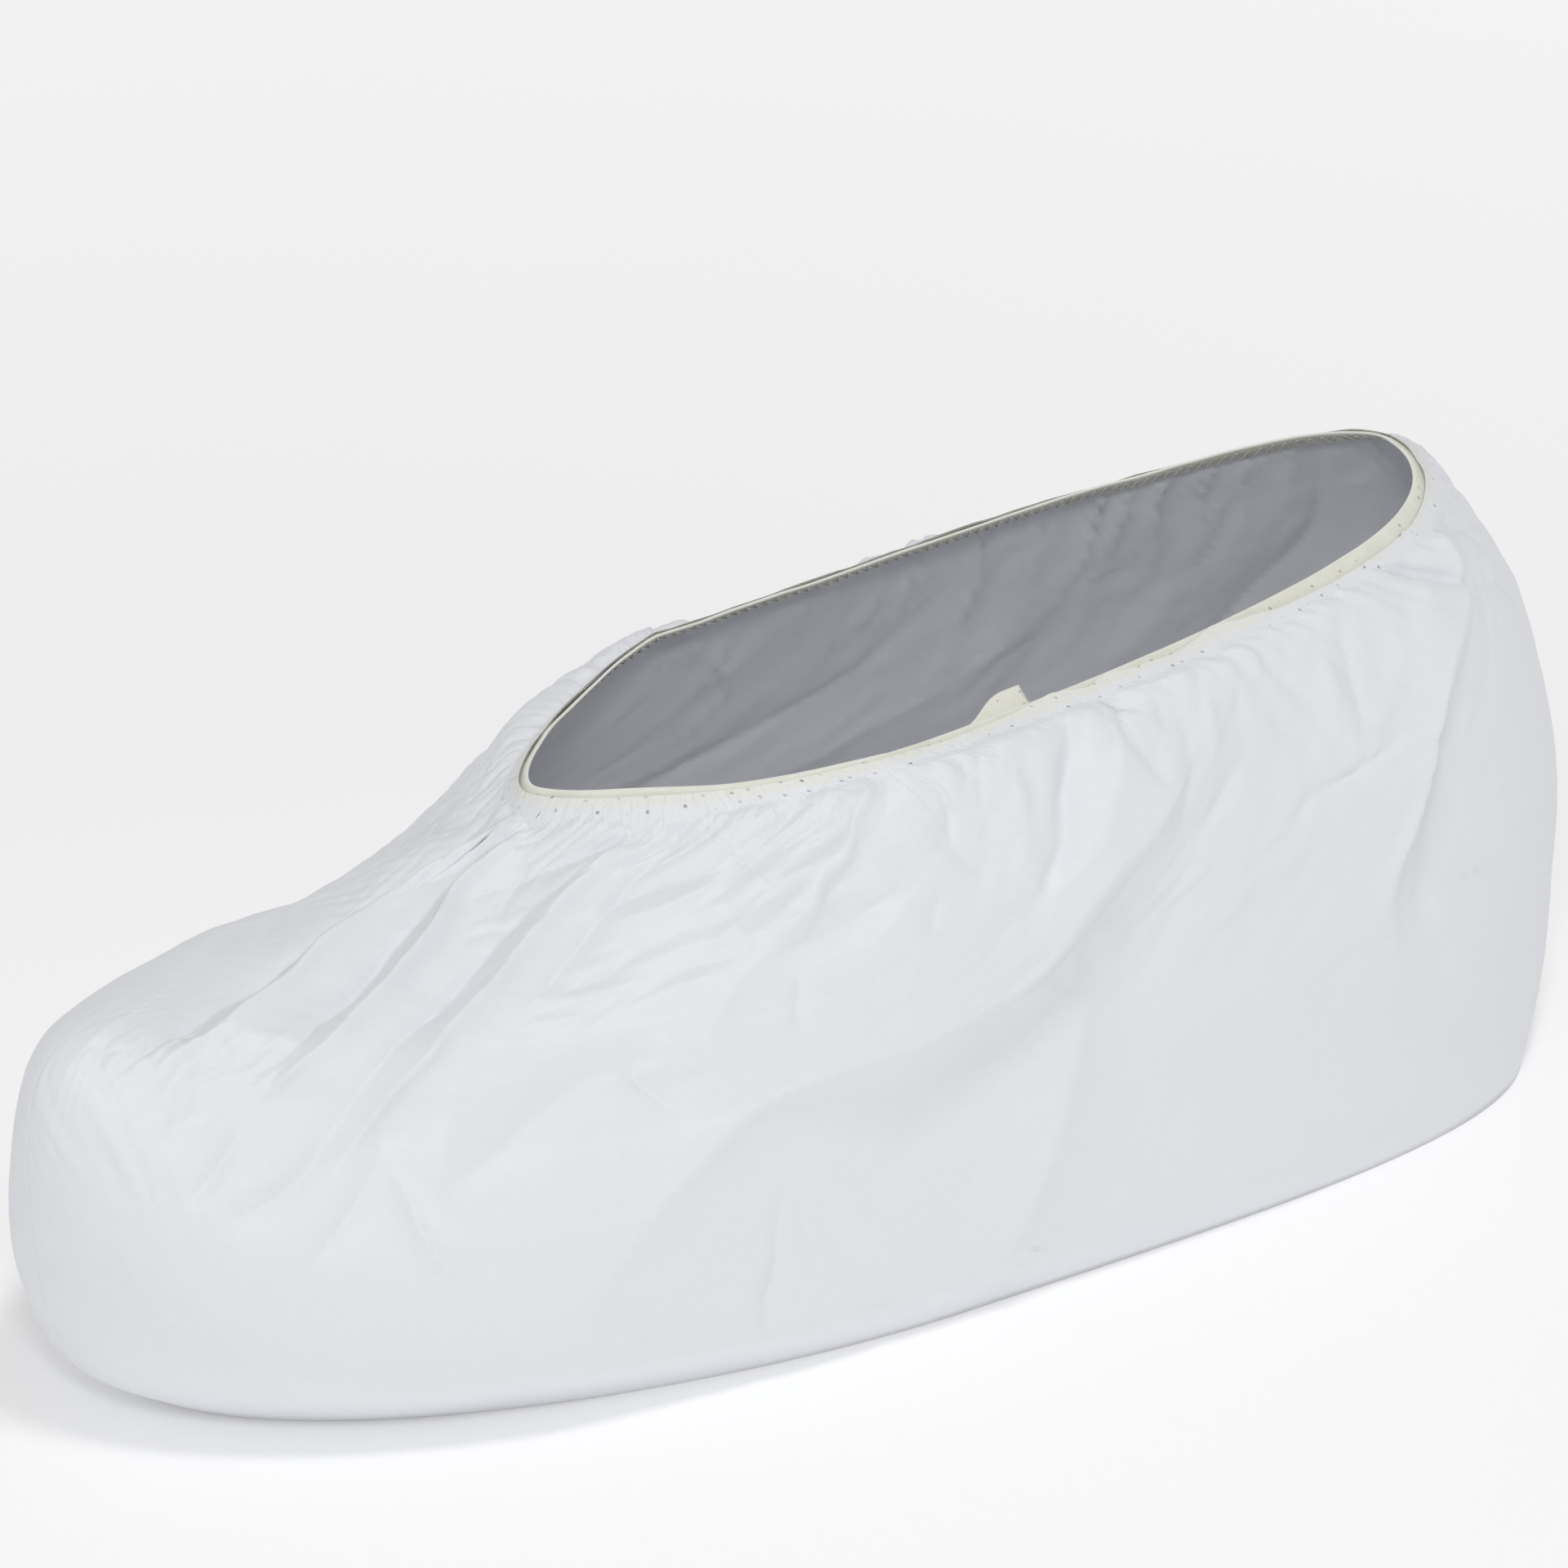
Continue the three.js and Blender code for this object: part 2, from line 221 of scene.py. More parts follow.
# ---- folds ----
# Height out of the wall, width over which it falls off to the right and to the left of the path as seen
# from outside, radius of the crease, all in millimetres, and the (angle, drop) places on its path.
FOLDS = table(
    ("name", "height", "width_right", "width_left", "radius", "path"),
    ("toe flat", -1.6, 9, 14, 5, ((2, .28), (2, .38), (3, .46), (5, .52))),
    ("toe shoulder", -4.5, 9, 9, 6, ((4, .55), (12, .56), (24, .575), (38, .6), (52, .61))),
    ("first foot", -2.2, 3, 2.4, .5,
     ((-5, .08), (-7, .145), (-7, .21), (-2.5, .3), (2, .37), (8, .455), (10.5, .525))),
    ("second foot", -2.2, 3, 2.4, .5,
     ((3, .09), (6, .165), (10, .235), (16, .32), (21, .41), (26, .475), (27.5, .54))),
    ("third foot", -2.2, 3, 2.4, .5,
     ((25, .11), (24.5, .16), (26, .225), (30, .33), (36, .455), (39, .52), (40, .595))),
    ("first crest", 4.3, 3.4, 2.6, .5,
     ((1, .01), (-.5, .05), (-2, .14), (-1.5, .2), (3, .275), (7, .33), (13, .44), (15, .48), (16, .57))),
    ("first end", -.9, 2, 4, .3, ((8, .42), (10, .46), (16, .5), (21, .56))),
    ("second crest", 4.6, 3.4, 1.9, .3,
     ((4, .01), (6, .07), (10, .165), (14.5, .215), (20, .31), (25, .4), (29, .47), (30, .53), (30, .585))),
    ("second fan", -1.4, 2, 2.8, .3, ((26, .5), (26, .56), (24.5, .6), (21, .64))),
    ("second end", -1.2, 2, 2.8, .3, ((31, .6), (30, .63), (28.5, .66), (26, .69))),
    ("third crest", 4.2, 3.4, 1.9, .3,
     ((27.5, .01), (29, .07), (29, .125), (30, .195), (34, .31), (39.5, .44), (42.5, .505), (43, .585),
      (41.5, .64))),
    ("third end", -1.7, 2, 4, .4, ((39.5, .6), (38, .655), (34, .69), (31, .7))),
    ("third head", -1.1, 2, 3, .25, ((41, .015), (38.5, .045), (31, .055), (24.5, .08))),
    ("fourth valley", -2, 3, 4, .4, ((40.5, .03), (39.5, .08), (37, .13), (38, .22), (43, .38))),
    ("first ridge", .4, 5, 6, 2, ((-4, .07), (-3, .18), (2, .26), (11, .38), (18, .48))),
    ("second ridge", .4, 5, 6, 2, ((12, .07), (15, .18), (21, .29), (29, .42), (33, .54))),
    ("third ridge", .4, 6, 7, 2, ((31, .09), (31, .2), (36, .36), (44, .52))),
    ("between 1", -1.3, 1.4, 1.8, .2, ((-9, .13), (-5, .22), (1, .31))),
    ("between 2", -1.2, 1.4, 1.8, .2, ((15, .11), (18, .16), (21, .19))),
    ("between 3", -1.2, 1.4, 1.8, .2, ((10, .24), (16, .33), (21, .41))),
    ("between 4", -.6, 1.4, 1.8, .2, ((33, .165), (31.5, .19), (30, .225))),
    ("between 5", -.6, 1.4, 1.8, .2, ((38, .25), (33.5, .285), (31, .335))),
    ("between 6", -.4, 1.5, 2, .2, ((36, .33), (33, .37), (32, .42))),
    ("crinkle 1", -.5, 1.2, 1.6, .2, ((5, .4), (8, .455), (13, .5), (20, .54))),
    ("crinkle 2", -.45, 1.2, 1.6, .2, ((4, .44), (8, .5), (14, .55), (20, .6))),
    ("crinkle 3", -.45, 1.2, 1.6, .2, ((10, .42), (15, .47), (20, .5), (24, .54))),
    ("crinkle 4", -.4, 1.2, 1.6, .2, ((2, .48), (7, .55), (12, .6), (17, .64))),
    ("right tip valley", -2.3, 4, 4, .4,
     ((-15, .05), (-20, .12), (-28, .16), (-31, .21), (-36, .3), (-41, .44))),
    ("right second valley", -2.2, 5, 4, .4, ((-34, .05), (-38, .2), (-43, .4), (-47, .6))),
    ("right tip ridge", 1.3, 5, 5, 2, ((-12, .1), (-19, .2), (-25, .32), (-30, .46))),
    ("right rim puff", 4, 6, 6, 1.5, ((-26, .085), (-40, .075), (-60, .075), (-92, .08))),
    ("fork stem", -.5, 3, 3, .3, ((44.5, .595), (45.5, .62), (46, .635))),
    ("fork left", -1, 1.6, 3, .2, ((46, .625), (45, .656), (43, .7), (41, .73))),
    ("fork right", -1.1, 1.6, 3, .2, ((46, .625), (50, .667), (52, .7), (54, .73), (57.5, .775))),
    ("side valley", -1.8, 4, 5, 1.5, ((66, .46), (61.5, .51), (60, .56), (57, .625), (53, .67))),
    ("side crease", -1, 1.4, 2.2, .15, ((63.5, .47), (66, .515), (70, .55), (74.5, .59))),
    ("toe streak 1", -.35, 2, 2, .3, ((1, .59), (6, .64), (12, .68))),
    ("toe streak 2", -.3, 2, 2, .3, ((-2, .62), (3, .67), (8, .7))),
    ("toe arc", -.35, 3, 3, .8, ((-9, .8), (3, .78), (12, .775), (17.5, .79), (26, .8))),
    ("swoop", 8, 22, 7, .3,
     ((112, .08), (109.5, .16), (103.5, .255), (100.5, .29), (98.5, .36), (97.6, .44), (94.5, .48),
      (89.6, .52), (80.8, .565), (76.8, .64), (72, .715), (67, .79))),
    ("swoop shade", -1.5, 2.5, 6, .7, ((100, .41), (96.5, .49), (91.5, .535), (84, .57), (80, .61))),
    ("swoop hollow", -2.2, 8, 20, 4,
     ((114, .3), (108, .42), (102, .55), (95, .64), (88, .68), (82, .74), (77, .83))),
    ("standing valley", -.9, 4, 5, 1, ((105, .27), (103, .33), (102.7, .42), (104, .5), (105, .57))),
    ("standing ridge", 3, 14, 8, .3,
     ((104.5, .54), (105, .61), (104.6, .69), (103.5, .77), (101.5, .86), (98.5, .95))),
    ("lower crease 1", -.9, 1.4, 2.2, .15, ((86, .7), (85.5, .745), (85, .8), (83, .85), (80, .93))),
    ("lower crease 2", -.9, 1.4, 2.2, .15, ((90, .75), (90.5, .81), (91.5, .87), (92, .92))),
    ("lower crease 3", -.5, 1.4, 2, .15, ((87.5, .71), (88.5, .79), (89, .85))),
    ("lower crease 4", -.5, 1.4, 2, .15, ((91, .695), (94, .745))),
    ("upper crease 1", -.6, 1.6, 1.1, .15, ((85.5, .235), (85, .27), (84.5, .32))),
    ("upper edge 1", .4, 3, 2.4, .2, ((85.8, .24), (84.6, .35), (87, .42), (90, .475))),
    ("upper crease 2", -1.3, 2, 1.4, .2, ((86.3, .035), (87, .09), (87, .16))),
    ("upper crease 3", -.8, 1.4, 2.2, .15, ((84.2, .135), (88, .19), (90.5, .22), (95, .25))),
    ("upper crease 4", -.9, 1.4, 2, .15, ((92.3, .01), (92, .04), (91.5, .075))),
    ("dent front", -2, 2.6, 2.6, .25, ((102.5, .03), (99, .12), (97.5, .2), (94, .31))),
    ("dent middle", 1.4, 3, 3.5, .25, ((105.2, .075), (102.5, .14), (99.5, .23), (97.5, .28))),
    ("dent back", -1.6, 1.8, 2.6, .2, ((108, .015), (105, .08), (106, .19))),
    ("dent third", -1.3, 2.2, 3, .25, ((114.5, .03), (112, .08), (110.5, .14))),
    ("peak front", 1.2, 3.5, 4, .4, ((104.6, 0), (103, .05), (100.5, .09))),
    ("peak back", 1.3, 4, 5, .4, ((119, 0), (116.5, .06), (114, .13))),
    ("diagonal", 3.4, 6, 2, .25,
     ((80, .02), (75.5, .055), (72, .085), (71, .145), (68.5, .17), (68, .235), (62, .26))),
    ("diagonal shelf", -1, 1.6, 4, .2, ((69, .205), (72.5, .185), (76, .175))),
    ("diagonal end", 2, 6, 3, .5, ((68.5, .23), (66, .29), (65.5, .36), (68, .43), (73, .49))),
    ("middle ridge", 1.3, 4, 2.4, .2, ((35, .19), (42, .2), (48, .18), (52, .16), (58, .142))),
    ("middle crease 1", -.9, 1.4, 2, .15, ((71, .325), (74.5, .4), (78, .45))),
    ("middle crease 2", -.8, 1.6, 2, .15, ((72, .235), (77, .24), (80, .245))),
    ("middle crease 3", -.9, 1.6, 2.5, .2, ((62, .03), (60, .07), (54, .1), (50, .12))),
    ("middle crease 4", -.8, 1.4, 2, .15, ((50, .26), (47, .31), (44, .34))),
    ("middle crease 5", -.8, 1.4, 2, .15, ((58, .31), (54.5, .36), (54, .42))),
    ("side puff", 1.4, 11, 11, 3, ((84, .12), (80, .3), (72, .42))),
    ("heel ridge", 6.8, 16, 5.5, .3,
     ((152, .02), (148, .07), (143.5, .19), (136.5, .25), (133, .33), (131.2, .395), (130.4, .465),
      (129.5, .54), (127.8, .625), (128.2, .7))),
    ("heel hollow", -2.2, 5, 11, 1.5,
     ((146, .235), (140, .32), (136, .44), (133.7, .55), (131, .67), (132.3, .735))),
    ("heel pleat", -2.6, 2, 3.5, .2, ((131.5, .02), (134, .05), (140.5, .12), (147.5, .25))),
    ("heel leaf", -2, 1.8, 3, .2, ((137, .02), (142, .06), (149, .09), (154, .13))),
    ("heel crease 1", -1.2, 2.2, 1.3, .15, ((128.5, .1), (127, .17), (125.3, .29))),
    ("heel bump", .8, 4, 2, .3, ((125, .11), (124.5, .17), (124, .22))),
    ("heel crease 2", -1.1, 2, 1.4, .15,
     ((130.5, .325), (127, .34), (123.5, .345), (120.3, .345), (118.5, .37))),
    ("heel crease 3", -.7, 1.6, 2, .15, ((125.8, .285), (129, .33), (134.5, .41))),
    ("back crease 1", -.6, 2, 2.5, .25, ((156, .15), (158, .21), (159.5, .25))),
    ("back crease 2", -.6, 2.5, 2, .25, ((152, .25), (157, .32), (160.5, .4))),
    ("back valley", -1.4, 4, 5, .6, ((164, .05), (166, .16), (163, .3), (158, .44))),
    ("right swoop", 2.2, 10, 4, .5, ((-118, .12), (-108, .3), (-96, .45), (-84, .62))),
    ("right hollow", -2.2, 4, 10, 1, ((-124, .3), (-112, .46), (-100, .62), (-92, .76))),
    ("right side dent", -2, 5, 5, .4, ((-76, .03), (-70, .14), (-66, .28), (-60, .42))),
    ("right side crease", -.8, 3, 2, .25, ((-92, .1), (-97, .24), (-92, .38))),
    ("right lower crease", -.6, 3, 2, .25, ((-64, .55), (-76, .68), (-80, .86))),
    ("right side puff", 2, 8, 8, 2, ((-52, .08), (-55, .24), (-60, .4))),
    ("right heel ridge", 2.2, 8, 4, .4, ((-156, .06), (-150, .3), (-141, .46), (-136, .66))),
    ("right heel hollow", -1.8, 4, 8, .8, ((-162, .2), (-156, .4), (-146, .56), (-142, .7))),
    ("right heel crease", -.7, 2, 3, .25, ((-128, .06), (-134, .2), (-131, .36))),
)
FOLD_STEPS = 6  # straight pieces between two places of a fold's path
FOLD_REACH = 5  # number of its widths from its middle after which a fold is left out
FOLD_TURN = 0.05  # distance from its middle over which a fold's width changes from one side's to the other's
FOLD_END = 0.03  # share of a half sine wave that is cut off at each end of a fold
FOLD_BLUNTNESS = 0.7  # below 1, a fold keeps its height closer to its ends
FOLD_ONSET = (4.0, 9.0)  # distances below the rim between which the folds grow to their full height
FLAT_EDGE = 0.1  # the folds die away over this drop above the edge of the sole


def spline(path, steps):
    """Points of a smooth curve through all the places of a path."""
    places = np.array(path, float)
    padded = np.concatenate([2 * places[:1] - places[1:2], places, 2 * places[-1:] - places[-2:-1]])
    pieces = []
    for before, start, end, after in zip(padded, padded[1:], padded[2:], padded[3:]):
        u = np.linspace(0, 1, steps, endpoint=False)[:, None]
        pieces.append(start + (end - before) / 2 * u
                      + (before - 2.5 * start + 2 * end - after / 2) * u**2
                      + (1.5 * start - 1.5 * end + (after - before) / 2) * u**3)
    return np.concatenate(pieces + [places[-1:]])


def fold_heights(fold, points, normals):
    """Height that one fold gives the wall at each point, with a crease along its middle."""
    chart = spline(fold["path"], FOLD_STEPS)
    route = smooth_points(chart[:, 0], chart[:, 1])
    reach = FOLD_REACH * max(fold["width_right"], fold["width_left"])
    near = np.all((points > route.min(0) - reach) & (points < route.max(0) + reach), axis=-1)
    here, facing = points[near], normals[near]
    best = np.full(len(here), np.inf)
    along = np.zeros(len(here))
    side = np.zeros(len(here))
    lengths = np.linalg.norm(np.diff(route, axis=0), axis=1)
    reached = np.concatenate([[0], np.cumsum(lengths)]) / lengths.sum()
    for i, (start, end) in enumerate(zip(route, route[1:])):
        direction = end - start
        part = np.clip((here - start) @ direction / (direction @ direction), 0, 1)
        offset = here - start - part[:, None] * direction
        distance = np.linalg.norm(offset, axis=1)
        closer = distance < best
        best[closer] = distance[closer]
        along[closer] = (reached[i] + (reached[i + 1] - reached[i]) * part)[closer]
        turn = np.einsum("ij,ij->i", np.cross(direction / np.linalg.norm(direction), offset), facing)
        side[closer] = (turn / (distance + FOLD_TURN))[closer]
    width = np.interp(side, (-1, 1), (fold["width_right"], fold["width_left"]))
    fade = np.sin(np.pi * (FOLD_END + along * (1 - 2 * FOLD_END))) ** FOLD_BLUNTNESS
    across = np.sqrt(best**2 + fold["radius"] ** 2) - fold["radius"]
    heights = np.zeros(points.shape[:-1])
    heights[near] = fold["height"] * fade * np.exp(-across / width)
    return heights


# Flat facets with straight edges, as thin film makes when it crumples: their size and height in
# millimetres, and a noise seed.
FACETS = table(
    ("size", "height", "seed"),
    (27, 1.9, 41),
    (13, 1.4, 43),
    (6, 0.55, 45),
)
FACET_LEAN = math.radians(38)  # they are drawn out along a line that falls towards the toe at this angle
FACET_LEAN_REACH = 40  # distance from the toe's middle at which they lean most of the way
FACET_DRAW = 0.5  # their breadth as a share of their length
FACET_WARP = 0.4  # how far their edges stray from straight lines, as a share of their size
FACET_WARP_SIZE = 1.5  # length over which they stray, in facet sizes
FACET_PERIOD = 64  # corners after which the heights repeat
WALL_TO_RIM = 1.4  # how much longer the wall is than the rim, all round
SKEW = (math.sqrt(3) - 1) / 2  # turns squares into triangles of equal sides
# how strongly the cloth is crumpled, by angle and by drop
CRUMPLE_ANGLES = (-180, -165, -150, -100, -60, -25, 0, 25, 45, 60, 80, 105, 125, 150, 165, 180)
CRUMPLE_AROUND = (0, 0.5, 0.6, 0.6, 0.5, 0.25, 0.2, 0.35, 0.7, 1.0, 1.0, 0.8, 0.5, 0.5, 0.4, 0)
CRUMPLE_DROPS = (0, 0.04, 0.12, 0.4, 0.55, 0.7, 0.9, 1)
CRUMPLE_DOWN = (0.5, 0.8, 1.0, 0.8, 0.45, 0.3, 0.25, 0)


def facet_heights(across, down, size, seed):
    """Heights of flat triangles with corners at random heights."""
    values = np.random.default_rng(seed).uniform(-1, 1, (FACET_PERIOD, FACET_PERIOD))
    across, down = across / size, down / size
    skewed = (across + down) * SKEW
    first, second = across + skewed, down + skewed
    i, j = np.floor(first).astype(int), np.floor(second).astype(int)
    part, other = first - i, second - j
    near, right, left, far = (values[(i + a) % FACET_PERIOD, (j + b) % FACET_PERIOD]
                              for a, b in ((0, 0), (1, 0), (0, 1), (1, 1)))
    return np.where(part > other, near + part * (right - near) + other * (far - right),
                    near + other * (left - near) + part * (far - left))


def crumple_heights(angle, drop, below, points):
    """Height of the facets of crumpled film."""
    around = WALL_TO_RIM * along_rim(angle)
    lean = FACET_LEAN * np.tanh(around / FACET_LEAN_REACH)
    along = below * np.sin(lean) - around * np.cos(lean)
    across = below * np.cos(lean) + around * np.sin(lean)
    heights = np.zeros(angle.shape)
    for facet in FACETS:
        warp = FACET_WARP * facet["size"]
        strayed = [warp * noise(points, FACET_WARP_SIZE * facet["size"], facet["seed"] + step)
                   for step in (0, 1)]
        heights += facet["height"] * facet_heights(along * FACET_DRAW + strayed[0], across + strayed[1],
                                                   facet["size"], facet["seed"])
    around_share = np.interp(angle, CRUMPLE_ANGLES, CRUMPLE_AROUND)
    return heights * around_share * np.interp(drop, CRUMPLE_DROPS, CRUMPLE_DOWN)


# Fine crinkles: where they are strongest and how far they reach, as angle and drop, two places between
# which they run, the distance between two and their depth in millimetres.
STREAKS = table(
    ("middle", "reach", "start", "end", "spacing", "depth"),
    ((12, .48), (12, .10), (.5, .31), (13, .55), 2.0, 0.36),
    ((25, .55), (8, .07), (16, .29), (27, .51), 2.3, 0.3),
    ((0, .16), (16, .12), (-9, .16), (0, .31), 2.0, 0.16),
    ((-32, .2), (24, .16), (-15, .05), (-31, .21), 2.4, 0.25),
    ((16, .67), (16, .06), (2, .60), (14, .69), 3.0, 0.2),
    ((54, .11), (18, .07), (62, .05), (47, .17), 2.2, 0.34),
    ((24, .12), (14, .08), (26, .06), (21, .2), 2.0, 0.3),
    ((98, .07), (14, .05), (100, .01), (95, .12), 2.6, 0.3),
)
STREAK_DRAW = 0.08  # a crinkle's breadth as a share of its length
STREAK_SEED = 60
RIPPLE_MEAN = 0.25  # taken off the ripples, so that they neither raise nor lower the wall
RIPPLE_GAIN = 2  # brings them to about their full depth


def streak_heights(angle, drop, points):
    """Height of the fine crinkles."""
    heights = np.zeros(angle.shape)
    for number, streak in enumerate(STREAKS):
        along = unit(smooth_points(*streak["end"]) - smooth_points(*streak["start"]))
        drawn = points - (points @ along)[..., None] * along * (1 - STREAK_DRAW)
        away = ((angle - streak["middle"][0]) / streak["reach"][0]) ** 2
        away = away + ((drop - streak["middle"][1]) / streak["reach"][1]) ** 2
        ripple = np.abs(noise(drawn, streak["spacing"], STREAK_SEED + number)) - RIPPLE_MEAN
        heights += streak["depth"] * np.exp(-away) * ripple * RIPPLE_GAIN
    return heights


# ---- gathers below the band ----
# Each row of the table is one size of pleat: distance between two pleats along the rim, depth, least
# and greatest length, all in millimetres.
PLEATS = table(
    ("spacing", "depth", "shortest", "longest"),
    (1.5, 0.16, 3, 9),
    (2.7, 0.36, 4, 15),
    (5.5, 0.75, 8, 26),
    (12.5, 1.15, 18, 48),
)
PLEAT_SEED = 11
PLEAT_START = NEEDLE_ROWS[1] - 1  # distance below the rim at which the pleats begin
PLEAT_ONSET = 1.5  # length over which they grow to their depth
PLEAT_TAPER = 0.8  # below 1, they keep their depth closer to their lower ends
PLEAT_JITTER = 0.42  # how far a pleat strays from its even place, in spacings
PLEAT_LEAN = 0.12  # how much its slant varies
PLEAT_BREADTH = (0.17, 0.05)  # its width and how much that varies, in spacings
PLEAT_RADIUS = 0.2
PLEAT_WANDER = (1.6, 9, 21)  # how the pleats' lines stray sideways: layer of noise
PLEAT_WANDER_ONSET = (5, 14)  # distances below the rim between which they start to stray
# how strongly the cloth is gathered and how far the pleats slant sideways, by angle
GATHER_ANGLES = (-180, -140, -100, -60, -20, 0, 25, 60, 85, 105, 125, 150, 165, 180)
GATHER_AMOUNT = (0.9, 0.8, 0.8, 0.95, 1.1, 1.1, 1.0, 0.6, 0.35, 0.3, 0.5, 0.8, 0.8, 0.9)
GATHER_SLANT = (0, 0.3, 0.5, 0.6, 0.3, -0.2, -0.5, -0.8, -0.8, -0.3, 0.8, 1.2, 0.5, 0)


def pleat_heights(angle, below, points):
    """Height of the pleats that run down from the lower row of stitches: all of it is below zero."""
    random = np.random.default_rng(PLEAT_SEED)
    along = along_rim(angle) + lumps(points, PLEAT_WANDER) * smoothstep(*PLEAT_WANDER_ONSET, below)
    amount = np.interp(angle, GATHER_ANGLES, GATHER_AMOUNT)
    heights = np.zeros(angle.shape)
    past_start = below - PLEAT_START
    for size in PLEATS:
        for number in range(int(RIM_LENGTH / size["spacing"])):
            jitter, depth, length, lean, breadth = random.uniform(-1, 1, 5)
            middle = (number + 0.5 + PLEAT_JITTER * jitter) * size["spacing"] - RIM_LENGTH / 2
            slant = np.interp(angle_at(middle), GATHER_ANGLES, GATHER_SLANT) + PLEAT_LEAN * lean
            reach = size["shortest"] + (size["longest"] - size["shortest"]) * (0.5 + 0.5 * length)
            near = (past_start > 0) & (past_start < reach)
            down = past_start[near]
            shift = along[near] - middle - slant * down
            shift = (shift + RIM_LENGTH / 2) % RIM_LENGTH - RIM_LENGTH / 2
            width = size["spacing"] * (PLEAT_BREADTH[0] + PLEAT_BREADTH[1] * breadth) * (1 + down / reach)
            across = np.sqrt(shift**2 + PLEAT_RADIUS**2) - PLEAT_RADIUS
            window = smoothstep(0, PLEAT_ONSET, down) * (1 - down / reach) ** PLEAT_TAPER
            heights[near] -= size["depth"] * (1 + 0.5 * depth) * window * np.exp(-across / width)
    return heights * amount


PUFF = 1.1  # how far the gathered cloth stands out just below the stitches
PUFF_RISE = (NEEDLE_ROWS[1] - 0.6, NEEDLE_ROWS[1] + 2.6)  # distances below the rim between which it rises
PUFF_FADE = 24  # distance over which it fades to a third
FOLD_DRIFT = ((0.9, 16, 1), (0.9, 16, 2), (0.9, 16, 3))  # how folds stray along X, Y and Z: layers of noise
BROAD_LUMPS = ((0.9, 38, 5), (0.4, 17, 6))  # the cloth's broad unevenness: layers of noise


def wanted_heights(angle, drop, below, points, normals):
    """Height out of the smooth wall that the cloth is drawn towards: its folds, pleats and puffs."""
    moved = points + np.stack([lumps(points, layer) for layer in FOLD_DRIFT], -1)
    folds = sum(fold_heights(fold, moved, normals) for fold in FOLDS)
    ground = np.clip((1 - drop) / FLAT_EDGE, 0, 1)
    onset = smoothstep(*FOLD_ONSET, below)
    puff = PUFF * smoothstep(*PUFF_RISE, below) * np.exp(-below / PUFF_FADE)
    broad = lumps(points, *BROAD_LUMPS)
    crumple = crumple_heights(angle, drop, below, points) + streak_heights(angle, drop, points)
    return ground * (onset * (folds + broad + crumple) + pleat_heights(angle, below, points) + puff)


# ---- settling ----
# The cloth can't stretch or shrink, so the width that it has to spare near the rim goes into folds.
# It settles on a coarse grid first and then on finer ones.
SETTLE_LEVELS = ((4, 400), (2, 200), (1, 90))  # every how many rows and columns, and how many rounds
SPARE_NEAR, SPARE_NEAR_FADE = 0.18, 8  # spare width at the rim as a share, and where a third of it is left
SPARE_FAR, SPARE_FAR_FADE = 0.04, 32
SPARE_EVERYWHERE = 0.004
PULL = 0.24  # strength of the pull towards the flat cloth's lengths
MOMENTUM = 0.8  # share of a round's movement that goes on in the next
STEP_GAIN = 2  # makes up for the part of a step that the momentum holds back
STIFFNESS = 0.003  # resistance to bending
TETHER = 0.012  # pull towards the wanted height
# distances below the rim, and the least and greatest heights out of the smooth wall there
LOWEST = ((0, 6.2, 9, 22), (0.0, 0.0, -1.4, -4.5))
HIGHEST = ((0, 4, 6, 9, 30), (0.25, 0.5, 1.5, 3.0, 6.0))  # kept to only while the cloth settles
DRAWN_BACK = 0.75  # share of the way from the settled shape to the wanted one that the cloth goes in the end
PRESSED = 0.5  # share of the sharpest part of the folds that is pressed into the settled cloth again
PRESSED_ROUNDS = 8  # rounds of averaging that take that sharpest part out of the wanted shape


def shifted(field, rows, columns):
    """The field's value at the neighbour that many rows down and columns round."""
    return np.roll(field, -columns, 1)[rows:]


def curvature(field):
    """How far the four neighbours lie from each place of the grid, added up, and 0 in its end rows."""
    result = np.zeros_like(field)
    result[1:-1] = (field[2:] + field[:-2] + np.roll(field, 1, 1)[1:-1] + np.roll(field, -1, 1)[1:-1]
                    - 4 * field[1:-1])
    return result


def settle_rounds(points, smooth, normals, below, wanted, spare, rounds):
    """Moves points until neighbours are as far apart as in the flat cloth."""
    around = unit(np.roll(smooth, -1, 1) - np.roll(smooth, 1, 1))
    folded = smooth + wanted[..., None] * normals
    springs = []
    for rows, columns in ((0, 1), (1, 0), (1, 1), (1, -1)):
        last = len(smooth) - rows
        span = shifted(folded, rows, columns) - folded[:last]
        along = dot(span, around[:last])
        rest = np.sqrt(dot(span, span) + ((1 + spare[:last]) ** 2 - 1) * along**2)
        springs.append((rows, columns, last, rest))
    lowest = np.interp(below, *LOWEST)
    highest = np.interp(below, *HIGHEST)
    velocity = np.zeros_like(points)
    for _ in range(rounds):
        change = np.zeros_like(points)
        for rows, columns, last, rest in springs:
            span = shifted(points, rows, columns) - points[:last]
            length = np.sqrt(dot(span, span)) + TINY
            push = span * (0.5 * (1 - rest / length))[..., None]
            change[:last] += push
            change[rows:] -= np.roll(push, columns, 1)
        moved = points - smooth
        bend = curvature(curvature(moved))
        height = dot(moved, normals)
        step = PULL * change - STIFFNESS * bend + (TETHER * (wanted - height))[..., None] * normals
        velocity = MOMENTUM * velocity + (1 - MOMENTUM) * STEP_GAIN * step
        points = points + velocity
        height = dot(points - smooth, normals)
        points += (np.clip(height, lowest, highest) - height)[..., None] * normals
        points[0] = smooth[0]
        points[-1] = smooth[-1]
    return points


